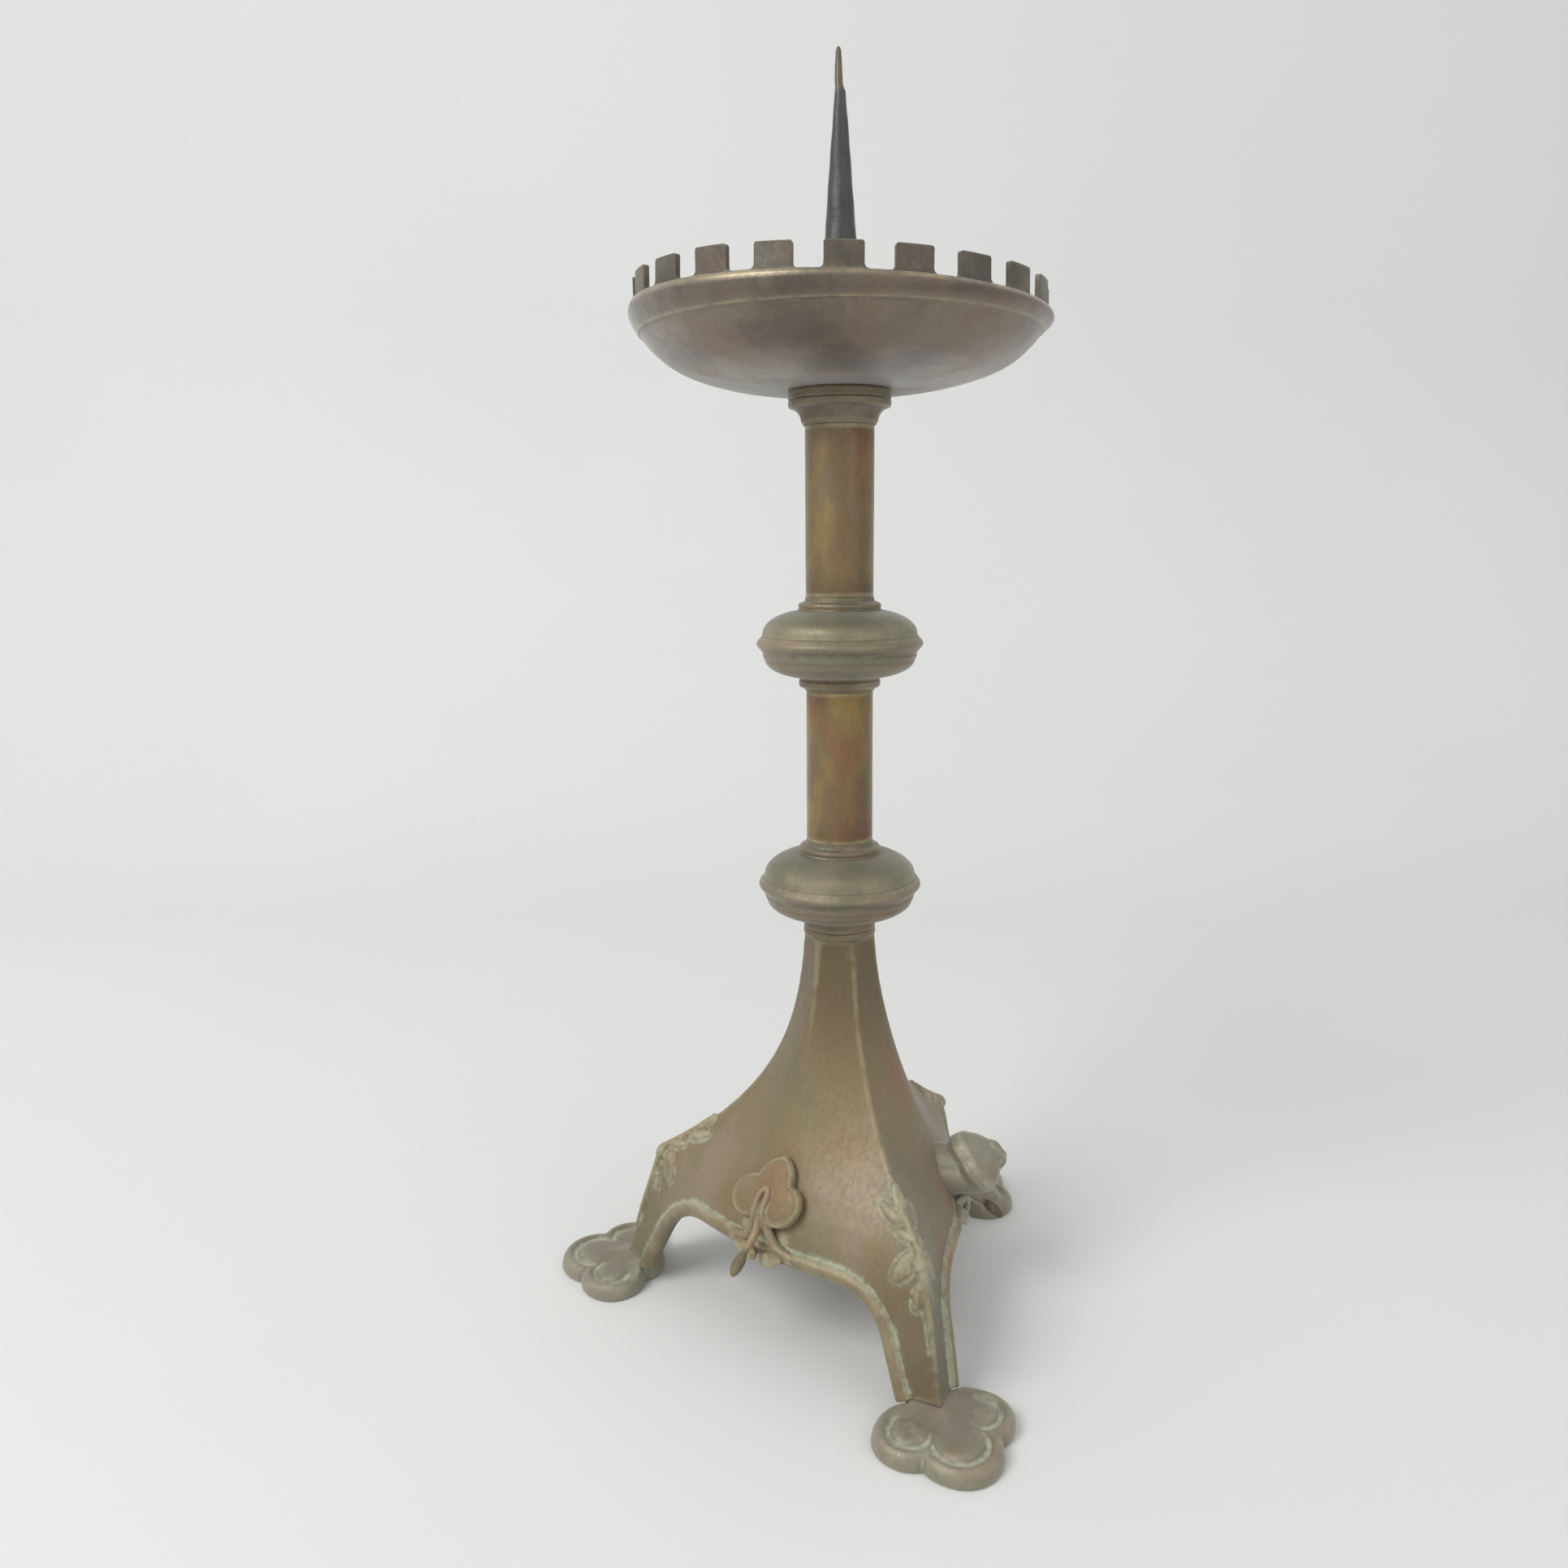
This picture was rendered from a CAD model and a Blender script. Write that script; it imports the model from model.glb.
"""An aged brass pricket candle stand, dressed over its measured solids."""

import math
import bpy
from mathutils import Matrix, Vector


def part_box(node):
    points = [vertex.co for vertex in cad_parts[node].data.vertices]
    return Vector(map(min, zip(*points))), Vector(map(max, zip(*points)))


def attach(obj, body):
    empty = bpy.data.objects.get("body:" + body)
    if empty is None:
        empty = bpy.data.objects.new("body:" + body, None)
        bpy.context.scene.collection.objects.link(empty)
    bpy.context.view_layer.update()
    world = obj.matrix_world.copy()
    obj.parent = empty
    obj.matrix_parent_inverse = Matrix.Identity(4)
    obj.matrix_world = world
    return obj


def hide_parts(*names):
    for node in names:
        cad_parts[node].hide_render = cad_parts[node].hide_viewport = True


bl_info = {
    "name": "Pricket Candle Stand",
    "version": (1, 0, 0),
    "blender": (4, 5, 0),
    "location": "View3D > Sidebar > Candle Stand",
    "description": "Casts, turns and spins the brass of a pricket candle stand and forges its spike",
    "category": "Add Mesh",
}

from collections import namedtuple

import bmesh
import bpy
import numpy as np
from bpy.props import FloatProperty, FloatVectorProperty, IntProperty, PointerProperty
from mathutils import Matrix, Vector
from mathutils.kdtree import KDTree

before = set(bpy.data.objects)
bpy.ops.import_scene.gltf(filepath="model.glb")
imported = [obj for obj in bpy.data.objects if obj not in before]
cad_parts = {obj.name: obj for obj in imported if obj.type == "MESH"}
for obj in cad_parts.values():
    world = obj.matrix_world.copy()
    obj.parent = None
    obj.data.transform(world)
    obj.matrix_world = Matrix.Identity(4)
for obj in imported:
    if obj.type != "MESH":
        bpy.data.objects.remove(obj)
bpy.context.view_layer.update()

MM = 0.001
TURN = 2.0 * math.pi
SIN60 = math.sin(math.pi / 3.0)
# Level direction to the right of the camera, where the brass is duller and the pan dips
DULL_WAY = np.array([0.937, -0.349])

# Directions of the legs and of the faces between them, in degrees from the X axis
LEGS = {"front": -90.0, "right": 30.0, "left": 150.0}
FACES = {"right": -30.0, "back": 90.0, "left": 210.0}


def solid(node):
    """Lowest and highest corners of a solid, in millimetres."""
    low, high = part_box(node)
    return np.array(low) / MM, np.array(high) / MM


def ends(node):
    """Heights of a solid's lowest and highest points, in millimetres."""
    return [corner[2] for corner in solid(node)]


def length(name, description, size):
    """A length property with its default in millimetres."""
    return FloatProperty(name=name, description=description, default=size * MM, min=0.0,
                         precision=5, subtype="DISTANCE", unit="LENGTH")


def angle(name, description, degrees):
    """An angle property with its default in degrees."""
    return FloatProperty(name=name, description=description, default=math.radians(degrees),
                         subtype="ANGLE", unit="ROTATION")


def share(name, description, part):
    """A property from nothing to the whole."""
    return FloatProperty(name=name, description=description, default=part, min=0.0, max=1.0,
                         subtype="FACTOR")


def linear(level):
    """One screen colour level, 0 to 255, as linear light."""
    level = level / 255.0
    return level / 12.92 if level <= 0.04045 else ((level + 0.055) / 1.055) ** 2.4


def colour(name, description, red, green, blue):
    """A colour property with its default in screen levels."""
    return FloatVectorProperty(name=name, description=description, size=3, min=0.0, max=1.0,
                               subtype="COLOR", default=(linear(red), linear(green), linear(blue)))


class CastingSettings(bpy.types.PropertyGroup):
    """Sizes of the cast base, its feet and its leaves."""
    bead_width: length("Bead width", "Width of the half-round bead along each arch", 5.0)
    bead_sink: length("Bead sink", "How deep the middle of the bead lies in the face", 0.6)
    strand_gap: length("Strand gap", "Half the space between the two strands of a leaf's stem", 1.5)
    knee_easing: length("Knee easing", "How far up and down the knee is eased in the middle of a face", 14.0)
    face_rounding: share("Face rounding", "How far the crease in the middle of each face is eased", 0.3)
    wall: length("Wall", "Thickness of the hollow base", 3.0)
    sprig_relief: length("Sprig relief", "How far the sprigs stand out at the knees", 1.2)
    skin_size: length("Skin size", "Grain of the mesh laid over the cast pieces", 0.55)
    leaf_skin_size: length("Leaf skin size", "Grain of the mesh laid over the leaves", 0.38)
    foot_rim: length("Foot rim", "Height of the rounded rim of each foot lobe", 5.7)
    foot_groove: length("Foot groove", "Depth of the groove inside each foot lobe", 1.5)
    leaf_rim: length("Leaf rim", "Height of the raised rim round each leaf lobe", 0.8)


class StemSettings(bpy.types.PropertyGroup):
    """Sizes of the turned stem and its spike."""
    segments: IntProperty(name="Segments", description="Steps round each turned piece", default=144,
                          min=48, max=256)
    edge: length("Edge", "Rounding of turned edges", 0.35)
    waver: length("Waver", "How far turned pieces stray from round", 0.05)
    hammer: length("Hammer marks", "Depth of the hammer marks on the spike", 0.18)


class PanSettings(bpy.types.PropertyGroup):
    """Sizes of the drip pan and its battlemented gallery."""
    merlons: IntProperty(name="Merlons", description="Teeth round the gallery", default=21, min=3, max=60)
    merlon_gap: length("Gap", "Width of the gap between two teeth", 8.1)
    merlon_start: angle("First tooth", "Direction of the middle of the first tooth", 8.3)
    fillet: length("Fillet", "Hollow corner at the foot of a tooth", 1.3)
    lean: length("Lean", "How far a tooth may lean in or out at its top", 0.35)
    unevenness: share("Unevenness", "How far the height of the teeth differs", 0.05)
    seed: IntProperty(name="Seed", description="Start of the chance values for the teeth", default=4)
    bowl_tilt: angle("Bowl tilt", "Slope of the bowl to the right", 0.35)
    rim_tilt: angle("Rim tilt", "Slope of the rim and gallery to the right", 2.2)


class FinishSettings(bpy.types.PropertyGroup):
    """Colours of the metals."""
    cast_ground: colour("Cast ground", "Main colour of the cast base", 132, 115, 84)
    cast_drift: colour("Cast drift", "Olive clouds on the cast base", 119, 112, 84)
    cast_stain: colour("Cast stain", "Reddish stains on the cast base", 136, 102, 78)
    foot_ground: colour("Foot ground", "Main colour of the feet", 136, 133, 116)
    foot_drift: colour("Foot drift", "Brown clouds on the feet", 132, 120, 102)
    foot_stain: colour("Foot stain", "Dark stains on the feet", 120, 118, 104)
    turned_ground: colour("Turned ground", "Main colour of collars and capital", 126, 110, 87)
    turned_drift: colour("Turned drift", "Olive clouds on collars and capital", 110, 103, 83)
    turned_stain: colour("Turned stain", "Brown stains on collars and capital", 104, 86, 70)
    knop_ground: colour("Knop ground", "Main colour of the knops", 124, 121, 96)
    knop_drift: colour("Knop drift", "Olive clouds on the knops", 112, 109, 88)
    knop_stain: colour("Knop stain", "Brown stains on the knops", 124, 110, 92)
    bowl_ground: colour("Bowl ground", "Main colour of the lower halves of the knops", 126, 107, 91)
    pan_ground: colour("Pan ground", "Main colour of the drip pan", 128, 116, 102)
    pan_drift: colour("Pan drift", "Dark clouds on the drip pan", 106, 96, 86)
    pan_stain: colour("Pan stain", "Brown stains on the drip pan", 126, 104, 88)
    tube_ground: colour("Tube ground", "Main colour of the tubes", 154, 130, 78)
    tube_drift: colour("Tube drift", "Grey-brown clouds on the tubes", 124, 107, 78)
    tube_stain: colour("Tube stain", "Reddish streaks on the tubes", 128, 88, 64)
    strip_ground: colour("Gallery ground", "Main colour of the gallery", 97, 89, 78)
    strip_drift: colour("Gallery drift", "Dark clouds on the gallery", 83, 77, 66)
    strip_stain: colour("Gallery stain", "Brown stains on the gallery", 112, 94, 74)
    bloom: colour("Bloom", "Pinkish grey bloom on all the brass", 154, 142, 130)
    rubbed: colour("Rubbed", "Bare brass on worn edges", 178, 166, 130)
    verdigris: colour("Verdigris", "Pale green crust in the hollows", 172, 180, 156)
    film: colour("Film", "Pale film on beads, rims and edges", 162, 162, 136)
    iron_ground: colour("Iron", "Dark skin of the iron", 84, 83, 82)
    iron_drift: colour("Iron drift", "Bluish clouds on the iron", 68, 69, 71)
    iron_rust: colour("Iron rust", "Golden-brown rust on the iron", 108, 95, 73)


class StageSettings(bpy.types.PropertyGroup):
    """Camera, lights and backdrop."""
    lens: FloatProperty(name="Lens", description="Focal length on a 36 mm sensor", default=28.0, min=1.0,
                        subtype="DISTANCE_CAMERA", unit="CAMERA")
    camera_place: FloatVectorProperty(name="Camera place", description="Where the camera stands", size=3,
                                      subtype="TRANSLATION", unit="LENGTH",
                                      default=(-0.15086, -0.35980, 0.25630))
    camera_heading: angle("Camera heading", "Direction of the view, clockwise from the Y axis", 20.0905)
    camera_pitch: angle("Camera pitch", "How far the camera looks down", 10.921)
    camera_roll: angle("Camera roll", "How far the camera is turned about its view", 0.496)
    backdrop: colour("Backdrop", "Colour of the floor and backdrop", 222, 222, 219)
    key_power: FloatProperty(name="Key power", description="Power of the large lamp at the upper left",
                             default=14.0, min=0.0, unit="POWER")
    fill_power: FloatProperty(name="Fill power", description="Power of the soft lamp at the right",
                              default=1.5, min=0.0, unit="POWER")
    sky_strength: FloatProperty(name="Sky strength", description="Even light from all round",
                                default=0.79, min=0.0)


class StandSettings(bpy.types.PropertyGroup):
    """All settings of the candle stand."""
    casting: PointerProperty(type=CastingSettings, name="Casting", description="Base, feet and leaves")
    stem: PointerProperty(type=StemSettings, name="Stem", description="Turned stem and spike")
    pan: PointerProperty(type=PanSettings, name="Pan", description="Drip pan and gallery")
    finish: PointerProperty(type=FinishSettings, name="Finish", description="Colours of the metals")
    stage: PointerProperty(type=StageSettings, name="Stage", description="Camera, lights and backdrop")


def settings():
    return bpy.context.scene.candle_stand


# Meshes

# Angle at which the rings of a petal stop short of its ends
PETAL_END = 0.12


def smooth_step(low, high, value):
    part = np.clip((np.asarray(value, float) - low) / (high - low), 0.0, 1.0)
    return part * part * (3.0 - 2.0 * part)


def unit(vectors):
    return vectors / np.linalg.norm(vectors, axis=-1, keepdims=True)


def full_turn(steps):
    """Even angles once round."""
    return np.arange(steps) * TURN / steps


def round_axis(radius, turn, height):
    """Points round the stem's axis from radii, angles and heights."""
    return np.stack(np.broadcast_arrays(radius * np.cos(turn), radius * np.sin(turn), height), -1)


def level_way(degrees):
    """The level direction at an angle from the X axis."""
    way = math.radians(degrees)
    return np.array([math.cos(way), math.sin(way), 0.0])


def ring_faces(rows, columns, closed=False):
    """Quads between rings of points; closed joins the last ring to the first."""
    first = np.arange(rows if closed else rows - 1)[:, None] * columns
    then = (first + columns) % (rows * columns)
    here = np.arange(columns)[None, :]
    beside = (here + 1) % columns
    return np.stack([first + here, first + beside, then + beside, then + here], -1).reshape(-1, 4).tolist()


def capped_rings(rings):
    """A closed shape from rings of points, with a face at each end."""
    rows, columns = rings.shape[:2]
    last = (rows - 1) * columns
    faces = ring_faces(rows, columns)
    faces.append(list(range(columns))[::-1])
    faces.append(list(range(last, last + columns)))
    return rings.reshape(-1, 3), faces


def gather(shapes):
    """Several shapes as one list of points and faces."""
    points, faces, count = [], [], 0
    for shape_points, shape_faces in shapes:
        points.append(shape_points)
        faces.extend([index + count for index in face] for face in shape_faces)
        count += len(shape_points)
    return np.concatenate(points), faces


def keep_mask(mesh, name, values):
    """Keeps a value for each point, for the finishes to read."""
    layer = mesh.attributes.get(name) or mesh.attributes.new(name, "FLOAT", "POINT")
    layer.data.foreach_set("value", np.asarray(values, np.float32).ravel())


def mesh_points(mesh):
    """The points of a mesh, in millimetres."""
    points = np.empty(len(mesh.vertices) * 3)
    mesh.vertices.foreach_get("co", points)
    return points.reshape(-1, 3) / MM


def mark(piece, name, amount):
    """Marks how much of a finish lies on a piece, by a function of its points."""
    keep_mask(piece.data, name, np.clip(amount(mesh_points(piece.data)), 0.0, 1.0))


def nearest(points, targets):
    """Index of the nearest target to each point, and the distance to it."""
    tree = KDTree(len(targets))
    for index, target in enumerate(targets):
        tree.insert(target, index)
    tree.balance()
    found = [tree.find(point)[1:] for point in points]
    return np.array([index for index, _ in found]), np.array([gap for _, gap in found])


def face_outwards(piece):
    """Merges doubled points, turns all faces outwards and shades them smooth."""
    shape = bmesh.new()
    shape.from_mesh(piece.data)
    bmesh.ops.remove_doubles(shape, verts=shape.verts, dist=1e-7)
    bmesh.ops.recalc_face_normals(shape, faces=shape.faces)
    for face in shape.faces:
        face.smooth = True
    shape.to_mesh(piece.data)
    shape.free()
    piece.data.update()


def new_piece(name, points, faces, masks=None):
    """An object at the origin from points in millimetres."""
    mesh = bpy.data.meshes.new(name)
    mesh.from_pydata((np.asarray(points, float).reshape(-1, 3) * MM).tolist(), [], faces)
    for mask, values in (masks or {}).items():
        keep_mask(mesh, mask, values)
    piece = bpy.data.objects.new(name, mesh)
    bpy.context.scene.collection.objects.link(piece)
    face_outwards(piece)
    return piece


def settle_modifiers(piece):
    """Turns a piece and its modifiers into a plain mesh."""
    graph = bpy.context.evaluated_depsgraph_get()
    made = bpy.data.meshes.new_from_object(piece.evaluated_get(graph))
    piece.modifiers.clear()
    old = piece.data
    piece.data = made
    bpy.data.meshes.remove(old)
    made.name = piece.name


def cut_away(piece, cutter):
    """Takes the cutter's form out of a piece."""
    before = len(piece.data.vertices)
    cut = piece.modifiers.new("Cut", "BOOLEAN")
    cut.operation = "DIFFERENCE"
    cut.solver = "MANIFOLD"
    cut.object = cutter
    settle_modifiers(piece)
    bpy.data.objects.remove(cutter)
    if len(piece.data.vertices) == before:
        raise RuntimeError("nothing was cut from " + piece.name)


def lay_skin(piece, voxel, rounds, most):
    """Lays one skin over overlapping shapes, evens it and thins it to a number of triangles."""
    skin = piece.modifiers.new("Skin", "REMESH")
    skin.mode = "VOXEL"
    skin.voxel_size = voxel
    skin.use_smooth_shade = True
    even = piece.modifiers.new("Even", "SMOOTH")
    even.factor = 0.5
    even.iterations = rounds
    settle_modifiers(piece)
    triangles = sum(len(face.vertices) - 2 for face in piece.data.polygons)
    if triangles > most:
        thin = piece.modifiers.new("Thin", "DECIMATE")
        thin.ratio = most / triangles
        settle_modifiers(piece)


def mark_relief(piece, rounds, depth):
    """Marks hollows and crests by how far each point lies from an evened copy of the skin."""
    mesh = piece.data
    count = len(mesh.vertices)
    points = mesh_points(mesh)
    normals = np.empty(count * 3)
    mesh.vertices.foreach_get("normal", normals)
    normals = normals.reshape(-1, 3)
    edges = np.empty(len(mesh.edges) * 2, int)
    mesh.edges.foreach_get("vertices", edges)
    one, two = edges.reshape(-1, 2).T
    degree = np.bincount(one, minlength=count) + np.bincount(two, minlength=count)
    even = points.copy()
    for _ in range(rounds):
        near = np.empty_like(even)
        for axis in range(3):
            near[:, axis] = np.bincount(one, even[two, axis], count)
            near[:, axis] += np.bincount(two, even[one, axis], count)
        even = near / degree[:, None]
    lift = np.einsum("ij,ij->i", points - even, normals) / depth
    keep_mask(mesh, "hollow", np.clip(-lift, 0.0, 1.0))
    keep_mask(mesh, "crest", np.clip(lift, 0.0, 1.0))


def rod_along(path, radii, facing, sides=14):
    """A rod along a path; facing turns its rings."""
    path = np.asarray(path, float)
    run = unit(np.gradient(path, axis=0))
    side = unit(np.cross(run, facing))
    lift = np.cross(side, run)
    turn = full_turn(sides)
    around = np.cos(turn)[None, :, None] * side[:, None, :] + np.sin(turn)[None, :, None] * lift[:, None, :]
    return capped_rings(path[:, None, :] + np.asarray(radii, float)[:, None, None] * around)


def petal(centre, along, facing, long, wide, thick, pinch=0.0):
    """An egg-shaped petal or bud; pinch draws its far end to a point."""
    along = unit(np.asarray(along, float))
    side = unit(np.cross(facing, along))
    lift = np.cross(along, side)
    sweep = np.linspace(PETAL_END, math.pi - PETAL_END, 15)
    place = -np.cos(sweep) * long / 2.0
    girth = np.sin(sweep) * (1.0 - pinch * (1.0 - np.cos(sweep)) / 2.0)
    turn = full_turn(18)
    across = np.cos(turn)[None, :, None] * side * wide / 2.0
    across = across + np.sin(turn)[None, :, None] * lift * thick / 2.0
    middle = np.asarray(centre, float) + place[:, None] * along
    return capped_rings(middle[:, None, :] + girth[:, None, None] * across)


def curve_through(points, count):
    """A smooth curve through a few points, with even steps of its run."""
    points = np.asarray(points, float)
    marks = np.arange(len(points), dtype=float)
    fine = np.linspace(0.0, marks[-1], count)
    padded = np.vstack([2 * points[0] - points[1], points, 2 * points[-1] - points[-2]])
    index = np.minimum(fine.astype(int), len(points) - 2)
    part = (fine - index)[:, None]
    p0, p1, p2, p3 = (padded[index + k] for k in range(4))
    return 0.5 * (2 * p1 + (p2 - p0) * part + (2 * p0 - 5 * p1 + 4 * p2 - p3) * part ** 2
                  + (3 * p1 - p0 - 3 * p2 + p3) * part ** 3)


# Turned pieces

# Longest run of a turned profile between two points, in millimetres
STEP = 1.6
KNOP_STEP = 1.2
FINE_STEP = 1.0


def eased(corners, size):
    """A closed profile with each sharp corner rounded and held by points beside it."""
    made = []
    for before, corner, after in zip(np.roll(corners, 1, 0), corners, np.roll(corners, -1, 0)):
        back, ahead = before - corner, after - corner
        cut = min(size, 0.3 * np.linalg.norm(back), 0.3 * np.linalg.norm(ahead))
        back, ahead = unit(back), unit(ahead)
        if np.dot(back, ahead) < -0.97:
            made.append(corner)
            continue
        start, end = corner + back * cut, corner + ahead * cut
        made.append(corner + back * 1.5 * cut)
        for part in (0.0, 0.25, 0.5, 0.75, 1.0):
            made.append((1 - part) ** 2 * start + 2 * part * (1 - part) * corner + part ** 2 * end)
        made.append(corner + ahead * 1.5 * cut)
    return np.array(made)


def spread(profile, step):
    """A closed profile with long runs divided."""
    made = []
    for here, ahead in zip(profile, np.roll(profile, -1, 0)):
        parts = max(1, math.ceil(np.linalg.norm(ahead - here) / step))
        made.extend(here + (ahead - here) * part / parts for part in range(parts))
    return np.array(made)


def profile_relief(profile, reach=1.1, depth=0.22):
    """How deep in a hollow, or how far out on a crest, each point of a closed profile lies."""
    runs = np.linalg.norm(np.roll(profile, -1, 0) - profile, axis=1)
    place = np.cumsum(runs) - runs
    apart = np.abs(place[:, None] - place[None, :])
    apart = np.minimum(apart, runs.sum() - apart)
    weight = np.exp(-0.5 * (apart / reach) ** 2) * (0.5 * (runs + np.roll(runs, 1)))[None, :]
    even = weight @ profile / weight.sum(1, keepdims=True)
    run = np.roll(profile, -1, 0) - np.roll(profile, 1, 0)
    out = unit(np.stack([run[:, 1], -run[:, 0]], 1))
    after = np.roll(profile, -1, 0)
    if np.sum(profile[:, 0] * after[:, 1] - after[:, 0] * profile[:, 1]) < 0:
        out = -out
    lift = np.sum((profile - even) * out, 1) / depth
    return np.clip(-lift, 0.0, 1.0), np.clip(lift, 0.0, 1.0)


def turned(name, corners, step=STEP, settle=None, seams=(), wear=None):
    """A piece turned on the stem's axis from a closed profile of radius and height corners."""
    stem = settings().stem
    profile = spread(eased(np.array(corners, float), stem.edge / MM), step)
    hollow, crest = profile_relief(profile)
    for seam in seams:
        hollow = np.maximum(hollow, 0.9 * np.exp(-((profile[:, 1] - seam) / 0.7) ** 2))
    if wear is not None:
        crest = wear(profile)
    turn = full_turn(stem.segments)
    radius, height = profile[:, :1], profile[:, 1:]
    stray = np.sin(2 * turn + 0.9 + 0.05 * height) + 0.6 * np.sin(3 * turn + 2.1 - 0.11 * height)
    radius = radius + stem.waver / MM * stray / 1.6
    points = round_axis(radius, turn, height)
    if settle is not None:
        points = settle(points)
    faces = ring_faces(len(profile), stem.segments, closed=True)
    masks = {"hollow": np.repeat(hollow, stem.segments), "crest": np.repeat(crest, stem.segments)}
    return new_piece(name, points, faces, masks)


def quarter(start, end, bulge_first, count=12):
    """Points on a quarter ellipse between two profile points, leaving the first one along the radius."""
    sweep = np.linspace(0.0, math.pi / 2.0, count)
    run, rise = np.sin(sweep), 0.86 * (1.0 - np.cos(sweep)) + 0.14 * np.sin(sweep)
    shares = (run, rise) if bulge_first else (1.0 - run[::-1], 1.0 - rise[::-1])
    return [(start[0] + (end[0] - start[0]) * a, start[1] + (end[1] - start[1]) * b) for a, b in zip(*shares)]


# Node trees

def put(tree, kind, values=None, **options):
    """A node with its options set, and its sockets linked or given values."""
    made = tree.nodes.new(kind)
    for option, choice in options.items():
        setattr(made, option, choice)
    for socket, value in (values or {}).items():
        if isinstance(value, bpy.types.NodeSocket):
            tree.links.new(value, made.inputs[socket])
        else:
            made.inputs[socket].default_value = value
    return made


def figure(tree, operation, first, second=0.0):
    return put(tree, "ShaderNodeMath", {0: first, 1: second}, operation=operation).outputs[0]


def times(tree, first, second):
    return figure(tree, "MULTIPLY", first, second)


def plus(tree, first, second):
    return figure(tree, "ADD", first, second)


def blend(tree, part, under, over, way="MIX"):
    """One colour over another, as far as a part says."""
    made = put(tree, "ShaderNodeMix", {0: part, 6: under, 7: over}, data_type="RGBA", blend_type=way)
    return made.outputs[2]


def kept_value(tree, name):
    """A value kept on a piece's points."""
    return put(tree, "ShaderNodeAttribute", attribute_name=name).outputs["Fac"]


def ramp(tree, value, low, high, to_low=0.0, to_high=1.0):
    """A smooth step from one value to another."""
    return put(tree, "ShaderNodeMapRange", {"Value": value, "From Min": low, "From Max": high,
                                            "To Min": to_low, "To Max": to_high},
               interpolation_type="SMOOTHSTEP").outputs[0]


def noise(tree, place, scale, detail=3.0, roughness=0.55, shift=0.0):
    """Noise over a place, from another part of the pattern for each shift."""
    if shift:
        place = put(tree, "ShaderNodeVectorMath", {0: place, 1: (shift, 1.7 * shift, -shift)}).outputs[0]
    return put(tree, "ShaderNodeTexNoise", {"Vector": place, "Scale": scale, "Detail": detail,
                                            "Roughness": roughness}).outputs[0]


def node_group(name, kind, takes, gives):
    """Turns a function that wires a node group into one that makes the group once and then finds it."""
    def wrap(wire):
        def find():
            if name in bpy.data.node_groups:
                return bpy.data.node_groups[name]
            tree = bpy.data.node_groups.new(name, kind)
            for socket, (sort, default) in takes.items():
                made = tree.interface.new_socket(name=socket, in_out="INPUT", socket_type="NodeSocket" + sort)
                if default is not None:
                    made.default_value = default
            for socket, sort in gives.items():
                tree.interface.new_socket(name=socket, in_out="OUTPUT", socket_type="NodeSocket" + sort)
            take = tree.nodes.new("NodeGroupInput").outputs
            give = tree.nodes.new("NodeGroupOutput").inputs
            for socket, made in wire(tree, take).items():
                tree.links.new(made, give[socket])
            return tree
        find.__doc__ = wire.__doc__
        return find
    return wrap


SPECK_SCALE = 700.0


@node_group("Patina Clouds", "ShaderNodeTree",
            {"Place": ("Vector", None), "Cloud Scale": ("Float", 40.0), "Stain Scale": ("Float", 90.0)},
            {"Cloud": "Float", "Stain": "Float", "Bloom": "Float", "Speck": "Float"})
def patina_clouds(tree, take):
    """Slow clouds, stains and fine specks of an old brown skin."""
    cloud = noise(tree, take["Place"], take["Cloud Scale"], 4.0, 0.6)
    stain = noise(tree, take["Place"], take["Stain Scale"], 4.0, 0.55, 3.1)
    bloom = noise(tree, take["Place"], take["Cloud Scale"], 3.0, 0.6, 6.3)
    speck = noise(tree, take["Place"], SPECK_SCALE, 2.0, 0.6, 7.7)
    return {"Cloud": ramp(tree, cloud, 0.4, 0.6), "Stain": ramp(tree, stain, 0.48, 0.66),
            "Bloom": ramp(tree, bloom, 0.5, 0.7), "Speck": ramp(tree, speck, 0.35, 0.68)}


@node_group("Hollow Crust", "ShaderNodeTree",
            {"Place": ("Vector", None), "Hollow": ("Float", 0.0), "Amount": ("Float", 1.0),
             "Spots": ("Float", 0.0), "Film": ("Float", 0.0)},
            {"Crust": "Float", "Dirt": "Float", "Film": "Float"})
def hollow_crust(tree, take):
    """Pale green crust that gathers in hollows and a pale film on edges, both broken up by noise."""
    broad = noise(tree, take["Place"], 70.0, 4.0, 0.6, 11.0)
    fine = noise(tree, take["Place"], 420.0, 4.0, 0.65, 5.0)
    patchy = times(tree, ramp(tree, broad, 0.38, 0.6), ramp(tree, fine, 0.3, 0.58))
    in_hollow = times(tree, ramp(tree, take["Hollow"], 0.12, 0.6), patchy)
    spots = times(tree, ramp(tree, fine, 0.66, 0.74), ramp(tree, broad, 0.5, 0.66))
    spots = times(tree, spots, take["Spots"])
    crust = times(tree, in_hollow, take["Amount"])
    broken = plus(tree, times(tree, broad, 0.7), times(tree, fine, 0.8))
    film = plus(tree, take["Film"], figure(tree, "SUBTRACT", broken, 0.75))
    return {"Crust": figure(tree, "MAXIMUM", crust, spots), "Dirt": ramp(tree, take["Hollow"], 0.05, 0.9),
            "Film": ramp(tree, film, 0.36, 0.86, 0.0, 0.8)}


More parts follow.
